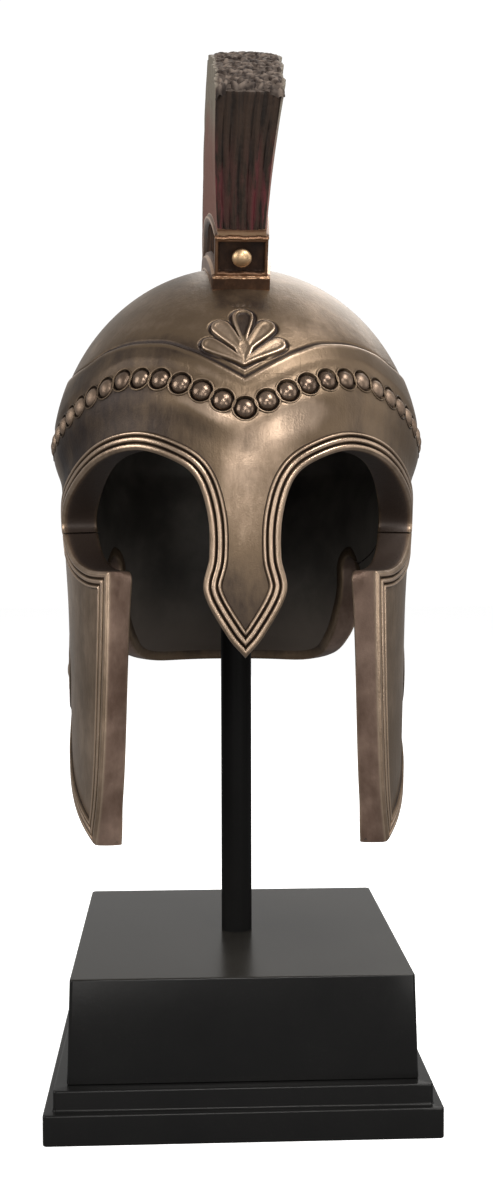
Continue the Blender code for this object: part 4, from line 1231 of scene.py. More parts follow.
def make_medallion(name, side):
    """Disc on a polar grid: a rolled border, an eight-lobed rosette and a domed middle."""
    radius = np.linspace(MEDALLION_RADIUS, 0.05, 54)[:, None]
    turn = np.linspace(0.0, 2.0 * math.pi, 144, endpoint=False)[None, :]
    wave = 0.5 + 0.5 * np.cos(LOBES * turn)
    lobe_end = 4.7 + 1.9 * np.sqrt(wave)
    rolled = bump(radius - ROLL_RADIUS, 0.95)
    petals = smooth(radius, lobe_end, lobe_end - 0.5) * smooth(radius, 2.4, 3.0)
    dish = bump(radius - (lobe_end - 1.5), 1.4) * smooth(wave, 0.1, 0.7)
    middle = np.sqrt(np.clip(1.0 - (radius / MIDDLE_RADIUS) ** 2, 0.0, 1.0))
    proud = 0.04 + 0.30 * rolled + 0.45 * petals - 0.25 * dish * petals + 0.8 * middle
    proud = np.where(radius > MEDALLION_RADIUS - 0.15, -1.2, proud)
    relief = np.clip(0.08 + 0.8 * rolled + 0.6 * petals * (1.0 - 0.6 * dish) + 0.85 * middle,
                     0.0, 0.95)
    seat = from_side(np.array([MEDALLION_PLACE]))[0]
    tilt = math.radians(MEDALLION_TURN)
    out = np.array([math.cos(tilt), -math.sin(tilt), 0.0])
    along = np.array([math.sin(tilt), math.cos(tilt), 0.0])
    points = (seat + out * proud[..., None] + along * (radius * np.cos(turn))[..., None]
              + np.array([0.0, 0.0, 1.0]) * (radius * np.sin(turn))[..., None])
    points = points if side > 0 else mirrored(points)
    return tube(name, points, {"relief": relief, "cut": relief * 0.0})


for side_name, side in (("right", 1), ("left", -1)):
    node = ["cheek_" + side_name]
    finish_piece(make_cheek_skin("cheek_plate_" + side_name, side), node, BRONZE)
    finish_piece(make_cheek_lining("cheek_lining_" + side_name, side), node, HOLLOW)
    finish_piece(make_cheek_border("cheek_border_" + side_name, side), node, BRONZE)
    finish_piece(make_medallion("medallion_" + side_name, side), node, BRONZE)

# %% [markdown]
# ## The palmette's patch
# The ornament is finer than the skull's cells, so it has a patch of very small ones of
# its own.  Its petals stand in a dark recess, the middle one is sunk and dark, and each
# has a bright rim, rubbed and with a painted highlight.  At its border the patch dips
# under the dome.

# %% The palmette
PATCH_HALF, PATCH_LOW, PATCH_HIGH = 13.0, -2.6, 19.5


def make_palmette():
    """The palmette's patch: the forehead's own relief with flat petals in a dark recess."""
    x, up = np.broadcast_arrays(np.linspace(-PATCH_HALF, PATCH_HALF, 160)[None, :],
                                np.linspace(PATCH_LOW, PATCH_HIGH, 136)[:, None])
    z = DOME_CENTRE + (DOME_TOP - DOME_CENTRE) * np.sin(TIP_CLIMB + up / ARC_RADIUS)
    angle = np.arcsin(np.clip(x / dome_radius(x / 50.0, z), -1.0, 1.0))
    angle = np.arcsin(np.clip(x / dome_radius(angle, z), -1.0, 1.0))
    base = at(dome_radius(angle, z), angle, z)
    height, wear = brow_relief(base, angle, z)
    depth = palmette_depth(x, up)
    middle = petal_depth(x, up, PETALS[2])
    sunk = smooth(middle, 0.65, 1.05) * smooth(up, 7.5, 9.5)
    raised = smooth(depth, -0.12, 0.30)
    recess = smooth(depth, -0.85, -0.45) * (1.0 - raised)
    dish = smooth(depth, 0.7, 1.5)
    height = (height * (1.0 - raised) + (0.58 - 0.16 * dish) * raised
              - 0.36 * recess - 0.42 * sunk)
    # rim: a rubbed edge with a painted highlight
    rim = bump(depth - 0.34, 0.34)
    petal_wear_and_highlight = 0.50 + 0.42 * rim + 0.10 * dish - 0.50 * sunk
    wear = ((wear - forehead_shade(x, up)) * (1.0 - raised) + petal_wear_and_highlight * raised
            - 0.46 * recess)
    wear = np.clip(wear, 0.0, 0.95)
    border = np.minimum(np.minimum(PATCH_HALF - np.abs(x), up - PATCH_LOW), PATCH_HIGH - up)
    height = height + 0.03 - smooth(border, 0.5, 0.0)
    points = base + outward(dome_radius, angle, z) * height[..., None]
    faces = grid_quads(*x.shape).reshape(-1, 4).tolist()
    return put_mesh("palmette", points, faces, {"relief": wear, "cut": wear * 0.0},
                    fix_normals=False)


finish_piece(make_palmette(), ["skull"], BRONZE)

# %% [markdown]
# ## The crest holder
# A box-like rail runs over the crown from front to back.  Its side is a profile of
# lips and a long sunk panel, carried along the dome's middle line.  The panels are
# matt brown, so each has a face of its own a hair outside the rail's.

# %% The rail
ACROSS = np.array([1.0, 0.0, 0.0])
CREST_START, CREST_END = 52.5, 176.0
HOLDER_HALF = ((52.5, 6.15), (90.0, 8.0), (140.0, 8.0), (176.0, 6.8))
HOLDER_HEIGHT, HOLDER_FOOT, PANEL_SINK = 13.6, -1.6, 1.0
PANEL_END = 174.0


def crest_frame(degrees):
    """Point of the dome's middle line at an angle up from the front, and its outward direction."""
    turn = np.radians(degrees)
    reach = np.where(degrees <= 90.0, DOME_HALVES[1], DOME_HALVES[2])
    rise = DOME_TOP - DOME_CENTRE
    none = np.zeros_like(turn)
    foot = np.stack([none, -reach * np.cos(turn), DOME_CENTRE + rise * np.sin(turn)], axis=-1)
    return foot, unit(np.stack([none, -np.cos(turn) / reach, np.sin(turn) / rise], axis=-1))


def side_lips(up):
    """How far the holder's side stands out at a height: a flange, a shelf and a set-back lip."""
    flange = 0.7 * (1.0 - smooth(up, 2.7, 3.0))
    shelf = 0.16 * bump(up - 12.15, 0.55)
    return flange + shelf - 0.5 * smooth(up, 12.55, 12.8)


def side_wear(up):
    """Wear of the holder's lips."""
    bright = np.maximum(bump(up - 2.85, 0.5), bump(up + 0.2, 0.4))
    bright = np.maximum(bright, np.maximum(bump(up - 12.2, 0.5), smooth(up, 12.7, 13.1)))
    return 0.42 + 0.48 * bright


def make_holder():
    """The holder's rail: its profile carried along the dome's middle line."""
    up = np.linspace(HOLDER_FOOT, HOLDER_HEIGHT, 84)
    degrees = np.linspace(CREST_START + 1.3, CREST_END, 120)
    foot, out = crest_frame(degrees)
    half = through(HOLDER_HALF, 1, degrees)
    ends = (smooth(degrees, CREST_START + 2.4, CREST_START + 3.0)
            * smooth(degrees, PANEL_END + 0.6, PANEL_END))
    panel = smooth(up, 3.7, 4.05) * smooth(up, 11.3, 10.95)
    x = half[:, None] + side_lips(up)[None, :] - PANEL_SINK * panel[None, :] * ends[:, None]
    right = foot[:, None, :] + out[:, None, :] * up[None, :, None] + x[..., None] * ACROSS
    rings = np.concatenate([right, mirrored(right[:, ::-1])], axis=1)
    wear = side_wear(up)[None, :] - 0.30 * panel[None, :] * ends[:, None]
    wear = np.concatenate([wear, wear[:, ::-1]], axis=1)
    return tube("crest_rail", rings, {"relief": wear, "cut": wear * 0.0})


def make_panels():
    """Faces of the rail's two sunk panels, a hair outside the rail's own."""
    up = np.linspace(3.95, 11.05, 24)
    degrees = np.linspace(CREST_START + 2.8, PANEL_END + 0.2, 90)
    foot, out = crest_frame(degrees)
    x = through(HOLDER_HALF, 1, degrees) - PANEL_SINK + 0.03
    right = foot[:, None, :] + out[:, None, :] * up[None, :, None]
    right = right + (x[:, None] * ACROSS)[:, None, :]
    one = grid_quads(*right.shape[:2]).reshape(-1, 4)
    faces = np.vstack([one[:, ::-1], one + right[..., 0].size])
    return put_mesh("crest_panels", np.stack([right, mirrored(right)]), faces.tolist(),
                    fix_normals=False)


def make_dull():
    """Matt dark brown paint in the sunk panels, with no gleam at a slant."""
    finish = Finish("dull_brown")
    patches = finish.noise(160.0, 4.0, 0.6)
    colour = patches.step(0.35, 0.75).blend((0.016, 0.009, 0.006), (0.085, 0.042, 0.024))
    finish.set(Base_Color=colour, Metallic=0.0, Specular_IOR_Level=0.05, Roughness=0.9)
    finish.raise_surface(patches, 0.3, 0.0005)
    return finish.material


finish_piece(make_holder(), ["crest_holder"], COPPER)
finish_piece(make_panels(), ["crest_holder"], make_dull())

# %% [markdown]
# ## The holder's front
# The front is a closed slab whose face is a height over a small grid: a bright lip
# above, a shelf, a thin frame round a sunk dark panel, and a foot below.  A slow wave
# in its lines makes it look cast by hand.  One domed gold rivet sits in the panel.

# %% The front plate and the rivet
PANEL_HALF, PANEL_LOW, PANEL_TOP = 5.45, 3.75, 11.25
PLATE_THICKNESS, PANEL_DEPTH = 1.6, 1.15
RIVET_RADIUS, RIVET_UP = 2.35, 7.9


def front_of_holder():
    """Foot of the holder's front, its forward direction and its upward direction."""
    foot, up = crest_frame(np.array(CREST_START))
    forward = np.cross(up, ACROSS)
    return foot, forward if forward[1] < 0.0 else -forward, up


def make_front_plate():
    """Front of the holder: a closed slab whose face is a height over a small grid."""
    up = np.linspace(HOLDER_FOOT, HOLDER_HEIGHT, 120)[:, None]
    share = np.linspace(-1.0, 1.0, 96)[None, :]
    half = HOLDER_HALF[0][1]
    x = share * (half + side_lips(up))
    sway = 0.10 * np.sin(x * 1.1 + 0.6) + 0.05 * np.sin(x * 2.7)
    inside = np.minimum(PANEL_HALF - np.abs(x), np.minimum(up - PANEL_LOW - sway,
                                                           PANEL_TOP - up))
    sunk = smooth(inside, 0.0, 0.28)
    inner_line = bump(inside + 0.30, 0.32)
    top_lip = smooth(up + sway, 12.7, 12.95)
    shelf = bump(up + 0.7 * sway - 12.1, 0.5)
    flange = 1.0 - smooth(up + 0.6 * sway, 2.65, 2.95)
    raised = 0.1 + 0.45 * top_lip + 0.32 * shelf + 0.6 * flange + 0.12 * inner_line
    raised = (raised * smooth(half + side_lips(up) - np.abs(x), 0.0, 0.22)
              - PANEL_DEPTH * sunk)
    origin, forward, upward = front_of_holder()
    plane = origin + ACROSS * x[..., None] + upward * (up + 0.0 * x)[..., None]
    face = plane + forward * raised[..., None]
    back = plane - forward * PLATE_THICKNESS
    rings = np.concatenate([face, back[:, ::-1]], axis=1)
    lines = np.maximum(bump(up + 0.6 * sway - 2.75, 0.42), bump(up + 0.35, 0.3))
    wear = (0.34 + 0.50 * top_lip + 0.30 * shelf + 0.25 * inner_line - 0.14 * flange
            + 0.52 * lines - 0.60 * sunk)
    wear = np.clip(wear + 0.0 * x, 0.10, 0.95)
    wear = np.concatenate([wear, wear * 0.0 + 0.2], axis=1)
    return tube("crest_front", rings, {"relief": wear, "cut": wear * 0.0})


def make_gold():
    """Rubbed gold: bright, with dark specks in its low places."""
    finish = Finish("rubbed_gold")
    relief = finish.stored("relief")
    specks = finish.noise(700.0, 3.0, 0.6)
    wear = (relief + (specks - 0.5) * 0.5).clamped()
    colour = wear.step(0.05, 0.75).blend((0.06, 0.035, 0.02), (0.56, 0.38, 0.22))
    finish.set(Base_Color=colour, Metallic=0.9, Roughness=(0.52 - wear * 0.10))
    finish.raise_surface(specks, 0.15, 0.0004)
    return finish.material


def make_rivet():
    """Domed rivet head: circles that shrink along the front's forward direction."""
    origin, forward, upward = front_of_holder()
    lift = np.linspace(-0.15, 0.985, 22)[:, None] * math.pi / 2.0
    turn = np.linspace(0.0, 2.0 * math.pi, 40, endpoint=False)[None, :]
    half, high, dome = RIVET_RADIUS, RIVET_RADIUS * 0.93, RIVET_RADIUS * 0.8
    centre = origin + upward * RIVET_UP + forward * (dome - 0.7)
    rings = (centre + ACROSS * (half * np.cos(lift) * np.cos(turn))[..., None]
             + upward * (high * np.cos(lift) * np.sin(turn))[..., None]
             + forward * (dome * np.sin(lift) + 0.0 * turn)[..., None])
    wear = np.broadcast_to(smooth(lift, -0.2, 0.8), rings.shape[:2])
    return tube("rivet_head", rings, {"relief": wear, "cut": wear * 0.0})


finish_piece(make_front_plate(), ["crest_holder"], COPPER)
finish_piece(make_rivet(), ["crest_rivet"], make_gold())

# %% [markdown]
# ## The plume
# The crest of hair is cast as upright strands that fan out from the rail and are cut
# off along a curve.  A closed loop runs round its foot: up one side, round the back,
# down the other side and across the front.  The same loop, larger, runs round the cut
# ends, and straight lines join the two.  Strands are rounded ridges across the loop,
# which waver a little as they climb.  The whole plume leans slightly to one side.

# %% The plume's frame and loop
PLUME_TOP, PLUME_HALVES = 262.6, (79.4, 90.0)
PLUME_TOP_HALF = ((52.5, 7.6), (90.0, 8.4), (140.0, 8.4), (176.0, 7.2))
PLUME_LEAN = 1.8
SIDE_STRANDS, FRONT_STRANDS, BACK_STRANDS = 74, 7, 6
PER_STRAND, BACK_POINTS = 10, 40
PLUME_FROM, PLUME_TO = CREST_START + 1.7, CREST_END - 1.2


def plume_middle(degrees, share):
    """Point on the plume's middle plane: from the rail's top to the cut ends."""
    foot, out = crest_frame(degrees)
    turn = np.radians(degrees)
    reach = np.where(degrees <= 90.0, PLUME_HALVES[0], PLUME_HALVES[1])
    tip = np.stack([np.zeros_like(turn), -reach * np.cos(turn),
                    DOME_CENTRE + (PLUME_TOP - DOME_CENTRE) * np.sin(turn)], axis=-1)
    base = foot + out * (HOLDER_HEIGHT - 0.4)
    return base + (tip - base) * share[..., None]


def plume_half(degrees, share):
    """Half the plume's width."""
    foot = through(HOLDER_HALF, 1, degrees) - 0.65
    return foot + (through(PLUME_TOP_HALF, 1, degrees) - foot) * share


def front_count(across):
    """Strand number across the front: uneven widths from a slow wave added to an even count."""
    share = (across + 1.0) / 2.0
    return (share + 0.035 * np.sin(share * 7.0) * np.sin(share * math.pi)) * FRONT_STRANDS


def plume_loop():
    """Round the loop: angle, side from -1 to 1, strand number, and stretch from 0 to 3."""
    flank = np.linspace(PLUME_FROM, PLUME_TO, SIDE_STRANDS * PER_STRAND // 2 + 1)
    back = np.linspace(1.0, -1.0, BACK_POINTS + 1)[:-1]
    front = np.linspace(-1.0, 1.0, FRONT_STRANDS * PER_STRAND + 1)[:-1]
    number = (flank - PLUME_FROM) / (PLUME_TO - PLUME_FROM) * SIDE_STRANDS
    ones = np.ones(len(flank) - 1)
    degrees = np.concatenate([flank[:-1], np.full(BACK_POINTS, PLUME_TO), flank[:0:-1],
                              np.full(len(front), PLUME_FROM)])
    aside = np.concatenate([ones, back, -ones, front])
    back_number = np.linspace(0.0, BACK_STRANDS, BACK_POINTS + 1)[:-1]
    count = np.concatenate([number[:-1], back_number, number[:0:-1], front_count(front)])
    stretch = np.repeat([1, 2, 3, 0], [len(ones), BACK_POINTS, len(ones), len(front)])
    return degrees, aside, count, stretch


print("plume: %d points round the loop" % len(plume_loop()[0]))

# %% [markdown]
# ## The strands
# How far a point stands out is the sum of a round ridge for its strand, fine hairs on
# it, a random-looking size for each strand, and broad locks along the flanks.  The
# mesh keeps the relief for the finish, and three more numbers: flank, 1 on the sides,
# tip, which grows towards the cut ends, and red, where crimson shows on the front.

# %% The strands
CAP_RINGS = 8


def make_plume():
    """Loops of strands from foot to cut ends, closed over the ends by shrinking rings."""
    degrees, aside, count, stretch = plume_loop()
    front, rear = stretch == 0, stretch == 2
    flank = ~front & ~rear
    share = np.linspace(0.0, 1.0, 42)[:, None]
    key = np.floor(count) * 3.7 + stretch * 11.3
    waver = (0.12 * np.sin(share * 5.0 + key) + 0.07 * np.sin(share * 11.0 + key * 2.1)) \
        * smooth(share, 0.0, 0.3)
    ridge = np.abs(np.sin((count[None, :] + waver) * math.pi)) ** 0.75
    fine_hair = 0.5 + 0.5 * np.sin((count[None, :] * 3.0 + waver * 2.0) * 2.0 * math.pi)
    depth = np.where(flank, 0.55, 0.34)
    uneven = 0.22 * np.sin(key * 1.7)
    push = depth * (ridge - 0.75) + 0.10 * fine_hair + uneven * ridge * 0.5
    lock = 0.35 * np.sin((degrees - PLUME_FROM) / (PLUME_TO - PLUME_FROM) * 17.0 * 2.0 * math.pi)
    push = push + np.where(flank, lock, 0.0) * smooth(share, 0.1, 0.9)
    degrees_grid = np.broadcast_to(degrees, push.shape)
    share_grid = share * (1.0 - 0.035 * front[None, :])
    crown = 0.9 * (1.0 - aside ** 2)
    ahead = np.where(front, -1.0, np.where(rear, 1.0, 0.0))
    sideways = np.where(flank, np.sign(aside), 0.0)
    _, out = crest_frame(degrees_grid)
    tangent = np.cross(ACROSS, out)
    tangent = tangent * np.where(tangent[..., 1:2] < 0.0, -1.0, 1.0)
    x = (aside * plume_half(degrees_grid, share_grid) + sideways * push
         + PLUME_LEAN * share_grid ** 2)
    points = (plume_middle(degrees_grid, share_grid)
              + tangent * (ahead * (push + crown))[..., None] + x[..., None] * ACROSS)
    relief = np.clip(0.10 + 0.6 * ridge + 0.25 * fine_hair, 0.0, 1.0)
    red = (0.26 + smooth(np.abs(aside), 0.66, 0.90) + 0.7 * bump(aside - 0.45, 0.18)) * front
    red = red[None, :] * smooth(share, 0.78, 0.34) + 0.35 * flank[None, :]
    centre = plume_middle(degrees, np.ones(len(degrees)))
    centre[:, 0] = PLUME_LEAN
    caps = [centre + (points[-1] - centre) * s
            for s in np.linspace(1.0, 0.0, CAP_RINGS + 1)[1:]]

    def with_cap(value, cap_level):
        """Values of the strands with a level for the rings over the ends."""
        cap = np.full((CAP_RINGS, len(degrees)), cap_level)
        return np.concatenate([np.broadcast_to(value, push.shape), cap])

    values = {"relief": with_cap(relief, 0.4), "flank": with_cap(flank * 1.0, 0.0),
              "tip": with_cap(share_grid ** 3 * (1.0 - front), 1.0), "red": with_cap(red, 0.0)}
    faces = grid_quads(*values["relief"].shape, wrap_columns=True).reshape(-1, 4).tolist()
    faces += cap_faces(0, len(degrees))
    return put_mesh("plume_strands", np.concatenate([points, np.stack(caps)]), faces, values)


print("strands: %d on each side, %d in front" % (SIDE_STRANDS, FRONT_STRANDS))

# %% [markdown]
# ## The cut ends
# The ends of the hair are short curly tufts.  They are a grid of their own over the
# plume's top: each tuft is a bent oval dome, placed and turned by chance, and
# the surface is the highest of them all.  At its border the grid rolls down over the
# strands.

# %% The cut ends
END_ROWS, END_COLUMNS, TUFTS = 520, 60, 1500
END_HALF, GAP_LEVEL = 1.035, -0.35
TUFT_LONG, TUFT_WIDE, TUFT_HIGH = 1.55, 0.72, 0.85
chance = np.random.default_rng(11)


def tufts_over(run, x):
    """Height and tone over the ends: for each tuft, the dome where it is the highest so far."""
    seat_run = chance.uniform(run[0, 0], run[-1, 0], TUFTS)
    seat_x = chance.uniform(-8.8, 8.8, TUFTS)
    spin = chance.uniform(0.0, 2.0 * math.pi, TUFTS)
    size = chance.uniform(0.75, 1.3, TUFTS)
    height = np.full((END_ROWS, END_COLUMNS), GAP_LEVEL)
    tone = np.full((END_ROWS, END_COLUMNS), 0.1)
    for k in range(TUFTS):
        near = np.abs(run[:, 0] - seat_run[k]) < 2.4
        gap_x, gap_run = x[near] - seat_x[k], run[near] - seat_run[k]
        a = gap_x * math.cos(spin[k]) + gap_run * math.sin(spin[k])
        b = gap_run * math.cos(spin[k]) - gap_x * math.sin(spin[k])
        b = b - 0.16 * a * a
        share = (a / (TUFT_LONG * size[k])) ** 2 + (b / (TUFT_WIDE * size[k])) ** 2
        dome = np.sqrt(np.clip(1.0 - share, 0.0, 1.0))
        level = np.where(share < 1.0, TUFT_HIGH * size[k] * dome + 0.30 * a + GAP_LEVEL, -9.0)
        higher = level > height[near]
        height[near] = np.where(higher, level, height[near])
        shade = 0.05 + 0.8 * dome ** 2 * (0.7 + 0.3 * math.sin(k * 1.9))
        tone[near] = np.where(higher, shade, tone[near])
    return height, tone


def make_ends():
    """Cut ends of the hair: a curved grid raised by the tufts and rolled down at its border."""
    degrees = np.linspace(PLUME_FROM - 0.9, PLUME_TO + 0.7, END_ROWS)[:, None]
    aside = np.linspace(-END_HALF, END_HALF, END_COLUMNS)[None, :]
    run = np.radians(degrees) * 88.0
    half = plume_half(np.clip(degrees, PLUME_FROM, PLUME_TO), np.array(1.0))
    x = aside * half
    height, tone = tufts_over(run, x)
    border = np.minimum((END_HALF - np.abs(aside)) * half,
                        np.minimum(run - run[0], run[-1] - run))
    inwards = np.clip(border / 1.5, 0.0, 1.0)
    roll = 1.0 - np.sqrt(np.clip(1.0 - (1.0 - inwards) ** 2, 0.0, 1.0))
    height = height - 1.9 * roll - 0.35 * aside ** 2
    flat = np.broadcast_to(degrees, height.shape)
    _, out = crest_frame(flat)
    points = plume_middle(flat, np.ones(flat.shape)) + out * height[..., None]
    points[..., 0] = x + PLUME_LEAN
    faces = grid_quads(END_ROWS, END_COLUMNS).reshape(-1, 4).tolist()
    return put_mesh("plume_ends", points, faces,
                    {"relief": tone, "flank": tone * 0.0, "tip": tone * 0.0 + 1.0,
                     "red": tone * 0.0}, fix_normals=False)


print("tufts on the cut ends:", TUFTS)

# %% [markdown]
# ## Painted hair
# The front is streaky brown-black with crimson low down and at its edges.  The flanks
# are a dusty rose that turns grey-green towards the ends, and the ends are grey-brown
# on their crests and nearly black between.

# %% The finish of the hair
def make_hair():
    """Painted hair: streaks by a stretched noise, crimson where red is high, pale tips."""
    finish = Finish("plume_hair")
    relief, flank, tip, red = (finish.stored(key) for key in ("relief", "flank", "tip", "red"))
    patches = finish.noise(55.0, 3.0, 0.6)
    fine_noise = finish.noise(900.0, 3.0, 0.6)
    streaks = finish.noise(640.0, 3.0, 0.6, (1.0, 1.0, 0.075))
    worn = (relief + (fine_noise - 0.5) * 0.6).clamped()
    shade = (worn * 0.55 + streaks * 0.9 - 0.25).clamped()
    strand = shade.step(0.20, 0.80).blend((0.0065, 0.0036, 0.0024), (0.025, 0.0138, 0.0085))
    crimson = (red * streaks.step(0.40, 0.60) * (1.1 - worn * 0.45)).clamped()
    strand = crimson.blend(strand, (0.078, 0.014, 0.018))
    pale = worn.step(0.05, 0.90).blend((0.018, 0.012, 0.010), (0.165, 0.130, 0.108))
    rosy = (patches * 0.6 + tip * 0.9).clamped()
    side = rosy.step(0.25, 0.75).blend((0.19, 0.105, 0.088), (0.195, 0.172, 0.140))
    side = worn.step(0.0, 0.7).blend((0.050, 0.028, 0.022), side)
    colour = flank.blend((tip * 0.9).clamped().blend(strand, pale), side)
    finish.set(Base_Color=colour, Metallic=0.0, Specular_IOR_Level=0.15, Roughness=0.62)
    finish.raise_surface(fine_noise, 0.35, 0.0005)
    return finish.material


HAIR = make_hair()
finish_piece(make_plume(), ["plume"], HAIR)
finish_piece(make_ends(), ["plume"], HAIR)

# %% [markdown]
# ## The stand
# The plinth is a wooden block on a stepped board, painted satin black.  Its outline is
# a square with barely rounded corners, and a profile is carried round it, so that all
# its edges are slightly soft and catch the light.  The rod is a plain turned bar with
# a narrow bevel on top.

# %% The stand's outlines
def square_ring(half, z, corner=0.9, steps=7, straight=12):
    """Square with rounded corners: straight sides joined by quarter circles."""
    bends = []
    for quarter in range(4):
        start = math.radians(90.0 * quarter)
        turn = start + np.linspace(0.0, math.pi / 2, steps)
        middle = np.array([math.cos(start + math.pi / 4), math.sin(start + math.pi / 4)])
        middle = middle * (half - corner) * math.sqrt(2)
        bends.append(middle + corner * np.stack([np.cos(turn), np.sin(turn)], axis=1))
    share = (np.arange(1, straight) / straight)[:, None]
    ring = []
    for k in range(4):
        a, b = bends[k][-1], bends[(k + 1) % 4][0]
        ring += [bends[k], a + (b - a) * share]
    flat = np.vstack(ring)
    return np.hstack([flat, np.full((len(flat), 1), z)])


def rounded(profile, radius=0.45, steps=5):
    """Profile of (half, height) corners with each inner corner turned into a small arc."""
    profile = np.asarray(profile, float)
    out = [profile[:1]]
    for before, corner, after in zip(profile[:-2], profile[1:-1], profile[2:]):
        a, b = before - corner, after - corner
        cut = min(radius, np.linalg.norm(a) * 0.45, np.linalg.norm(b) * 0.45)
        a, b = a / np.linalg.norm(a) * cut, b / np.linalg.norm(b) * cut
        t = np.linspace(0.0, 1.0, steps)[:, None]
        out.append(corner + a * (1.0 - t) ** 2 + b * t ** 2)
    out.append(profile[-1:])
    return np.vstack(out)


def make_board(name, profile):
    """Carry a profile round a square; the first and last rings are closed."""
    rings = np.stack([square_ring(half, z, corner=min(0.9, half * 0.4))
                      for half, z in rounded(profile)])
    return tube(name, rings)


print("a square ring has %d points" % len(square_ring(10.0, 0.0)))

# %% [markdown]
# ## Black paint
# The paint is satin black with a few pale specks.  A thin pale film on the block's top
# stands for dust and for painted sheen where the light falls on it: the shader asks which
# way a face looks and how high it is.

# %% The paint, the plinth and the rod
def make_black(name, dust_and_sheen, gloss, shine):
    """Black paint with pale specks and, on high faces that look up, a pale film of dust and
    painted sheen.
    """
    finish = Finish(name)
    patches = finish.noise(45.0, 5.0, 0.65)
    grain = finish.noise(1500.0, 3.0, 0.6)
    normal = finish.maker.node("ShaderNodeNewGeometry").output("Normal")
    facing = finish.maker.node("ShaderNodeSeparateXYZ", None, Vector=normal).output("Z")
    level = finish.maker.node("ShaderNodeSeparateXYZ", None, Vector=finish.place).output("Z")
    top = facing.step(0.5, 0.98) * level.step(0.030, 0.036)
    # Dust and painted sheen: a pale film on high faces that look up.
    sheen_and_dust_film = (top * (0.55 + patches * 0.9) * dust_and_sheen).clamped()
    specks = (grain + patches * 0.3).step(0.74, 0.86) * 0.2
    base = (patches * 0.6 + specks).clamped().blend((0.0060, 0.0060, 0.0062),
                                                    (0.013, 0.0125, 0.012))
    colour = sheen_and_dust_film.blend(base, (0.135, 0.120, 0.098))
    finish.set(Base_Color=colour, Metallic=0.0, Specular_IOR_Level=shine,
               Roughness=(gloss + patches * 0.10 + sheen_and_dust_film * 0.2).clamped(0.12, 0.85))
    finish.raise_surface(grain * 0.5 + patches, 0.06, 0.0005)
    return finish.material


PLINTH_PAINT = make_black("plinth_black", 0.10, 0.17, 0.19)
ROD_PAINT = make_black("rod_black", 0.0, 0.34, 0.02)
BOARD_TOP, BLOCK_TOP = 12.3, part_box("plinth_block")[1].z / MM
ROD_FOOT, ROD_TOP, ROD_RADIUS, ROD_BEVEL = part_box("rod")[0].z / MM, 198.0, 4.0, 0.4
board = [(0.5, 0.0), (47.0, 0.0), (47.0, 7.4), (44.8, 7.4), (44.8, BOARD_TOP),
         (0.5, BOARD_TOP)]
block = [(0.5, BOARD_TOP + 0.05), (41.8, BOARD_TOP + 0.05), (41.0, BLOCK_TOP),
         (39.6, BLOCK_TOP), (0.5, BLOCK_TOP)]
rod = [(0.0, ROD_FOOT)]
rod += [(ROD_RADIUS, z) for z in (ROD_FOOT, 60.0, 120.0, 189.0, ROD_TOP - ROD_BEVEL)]
rod += [(ROD_RADIUS - ROD_BEVEL, ROD_TOP), (0.0, ROD_TOP)]
finish_piece(make_board("stepped_board", board), ["plinth_foot"],
             PLINTH_PAINT)
finish_piece(make_board("block", block), ["plinth_block"], PLINTH_PAINT)
finish_piece(revolve("rod_bar", rod, sides=64), ["rod"], ROD_PAINT)

# %% [markdown]
# ## The floor
# The object stands on a plain white floor.  The floor shines a little by itself so that
# it stays white, but it is hidden from reflections and from bounced light, which would
# otherwise wash out the dark metal from below.

# %% The floor
FLOOR_HALF, FLOOR_GLOW = 2.5, 0.75


def make_floor():
    """Flat white square under the object, in metres."""
    mesh = bpy.data.meshes.new("floor")
    corners = [(-1, -1), (1, -1), (1, 1), (-1, 1)]
    mesh.from_pydata([(FLOOR_HALF * x, FLOOR_HALF * y, 0) for x, y in corners],
                     [], [(0, 1, 2, 3)])
    floor = bpy.data.objects.new("floor", mesh)
    bpy.context.scene.collection.objects.link(floor)
    paint = bpy.data.materials.new("floor_white")
    paint.use_nodes = True
    shader = paint.node_tree.nodes["Principled BSDF"]
    shader.inputs["Base Color"].default_value = (0.9, 0.9, 0.9, 1.0)
    shader.inputs["Roughness"].default_value = 0.9
    shader.inputs["Emission Color"].default_value = (1.0, 1.0, 1.0, 1.0)
    shader.inputs["Emission Strength"].default_value = FLOOR_GLOW
    mesh.materials.append(paint)
    floor.visible_diffuse = False
    floor.visible_glossy = False


make_floor()
print("the floor is %.0f m wide" % (2 * FLOOR_HALF))

# %% [markdown]
# ## Room and lights
# The room is white where the camera sees it and much darker where it lights the metal,
# which keeps the bronze dark and its highlights clear.  A soft light high on the right
# makes the broad highlight on the dome.  One in front and weaker ones to the left and
# right show the form, two low ones reach the cheek pieces, and two behind lift the
# outline and the floor.  Each light looks at a point on the upright middle line.

# %% Room and lights
ROOM_SEEN, ROOM_LIGHT = 1.05, 0.26
WARM = (1.0, 0.975, 0.935)
LIGHTS = (
    # name, place, height it looks at, size, power
    ("key", (0.28, -0.30, 0.62), 0.18, 0.30, 3.5),
    ("front", (0.02, -0.80, 0.42), 0.15, 0.20, 2.3),
    ("fill", (-0.60, -0.20, 0.35), 0.15, 0.40, 2.3),
    ("side", (0.60, -0.05, 0.25), 0.14, 0.40, 0.8),
    ("rim", (0.16, 0.50, 0.60), 0.18, 0.45, 1.6),
    ("low_left", (-0.14, -0.60, 0.06), 0.16, 0.20, 0.45),
    ("low_right", (0.28, -0.55, 0.06), 0.16, 0.20, 0.60),
    ("back", (0.0, 0.85, 0.42), 0.03, 1.00, 1.0),
)


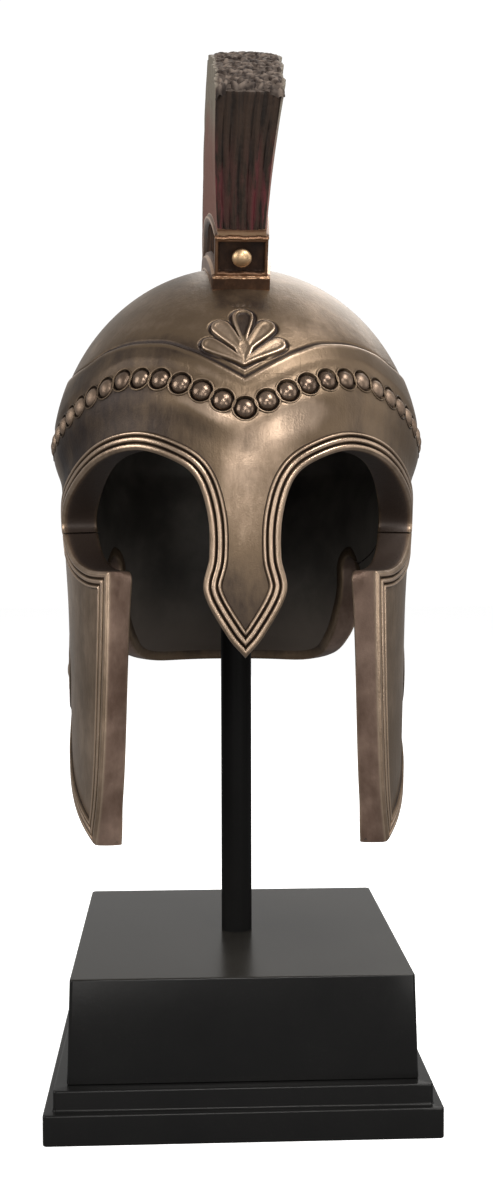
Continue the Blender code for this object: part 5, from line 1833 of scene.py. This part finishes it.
def add_light(name, place, goal, size, power):
    """Square soft light that looks at a point, with places in metres."""
    lamp = bpy.data.lights.new(name, "AREA")
    lamp.size, lamp.energy, lamp.color = size, power, WARM
    light = bpy.data.objects.new(name, lamp)
    light.location = place
    aim = Vector(goal) - Vector(place)
    light.rotation_euler = aim.to_track_quat("-Z", "Y").to_euler()
    light.visible_camera = False
    bpy.context.scene.collection.objects.link(light)


def make_room():
    """White room whose strength depends on whether the camera looks at it directly."""
    world = bpy.data.worlds.new("studio")
    bpy.context.scene.world = world
    world.use_nodes = True
    background = world.node_tree.nodes["Background"]
    background.inputs["Color"].default_value = (1.0, 1.0, 1.0, 1.0)
    maker = Value(world.node_tree, None)
    seen = maker.node("ShaderNodeLightPath").output("Is Camera Ray")
    strength = seen * (ROOM_SEEN - ROOM_LIGHT) + ROOM_LIGHT
    world.node_tree.links.new(strength.socket, background.inputs["Strength"])


make_room()
for name, place, height, size, power in LIGHTS:
    add_light(name, place, (0.0, 0.0, height), size, power)
bpy.context.scene.view_settings.view_transform = "Standard"
print("%d lights" % len(LIGHTS))

# %% [markdown]
# ## The camera
# The camera stands about 36 cm in front of the object at half its height.  It looks
# slightly down and past the middle, and its lens is rather wide, so the near forehead
# is drawn larger than the parts behind it.

# %% The camera
CAMERA_PLACE = (-0.01365, -0.35956, 0.14075)
CAMERA_YAW, CAMERA_DOWN, CAMERA_ROLL = -2.62, 2.53, -0.12
SENSOR_HEIGHT, LENS = 24.0, 27.312

camera_data = bpy.data.cameras.new("camera")
camera_data.sensor_fit = "VERTICAL"
camera_data.sensor_height = SENSOR_HEIGHT
camera_data.lens = LENS
camera_data.clip_start = 0.01
camera = bpy.data.objects.new("camera", camera_data)
camera.matrix_world = (Matrix.Translation(CAMERA_PLACE)
                       @ Matrix.Rotation(math.radians(CAMERA_YAW), 4, "Z")
                       @ Matrix.Rotation(math.radians(90.0 - CAMERA_DOWN), 4, "X")
                       @ Matrix.Rotation(math.radians(CAMERA_ROLL), 4, "Z"))
bpy.context.scene.collection.objects.link(camera)
bpy.context.scene.camera = camera
print("camera at", CAMERA_PLACE)

# %% [markdown]
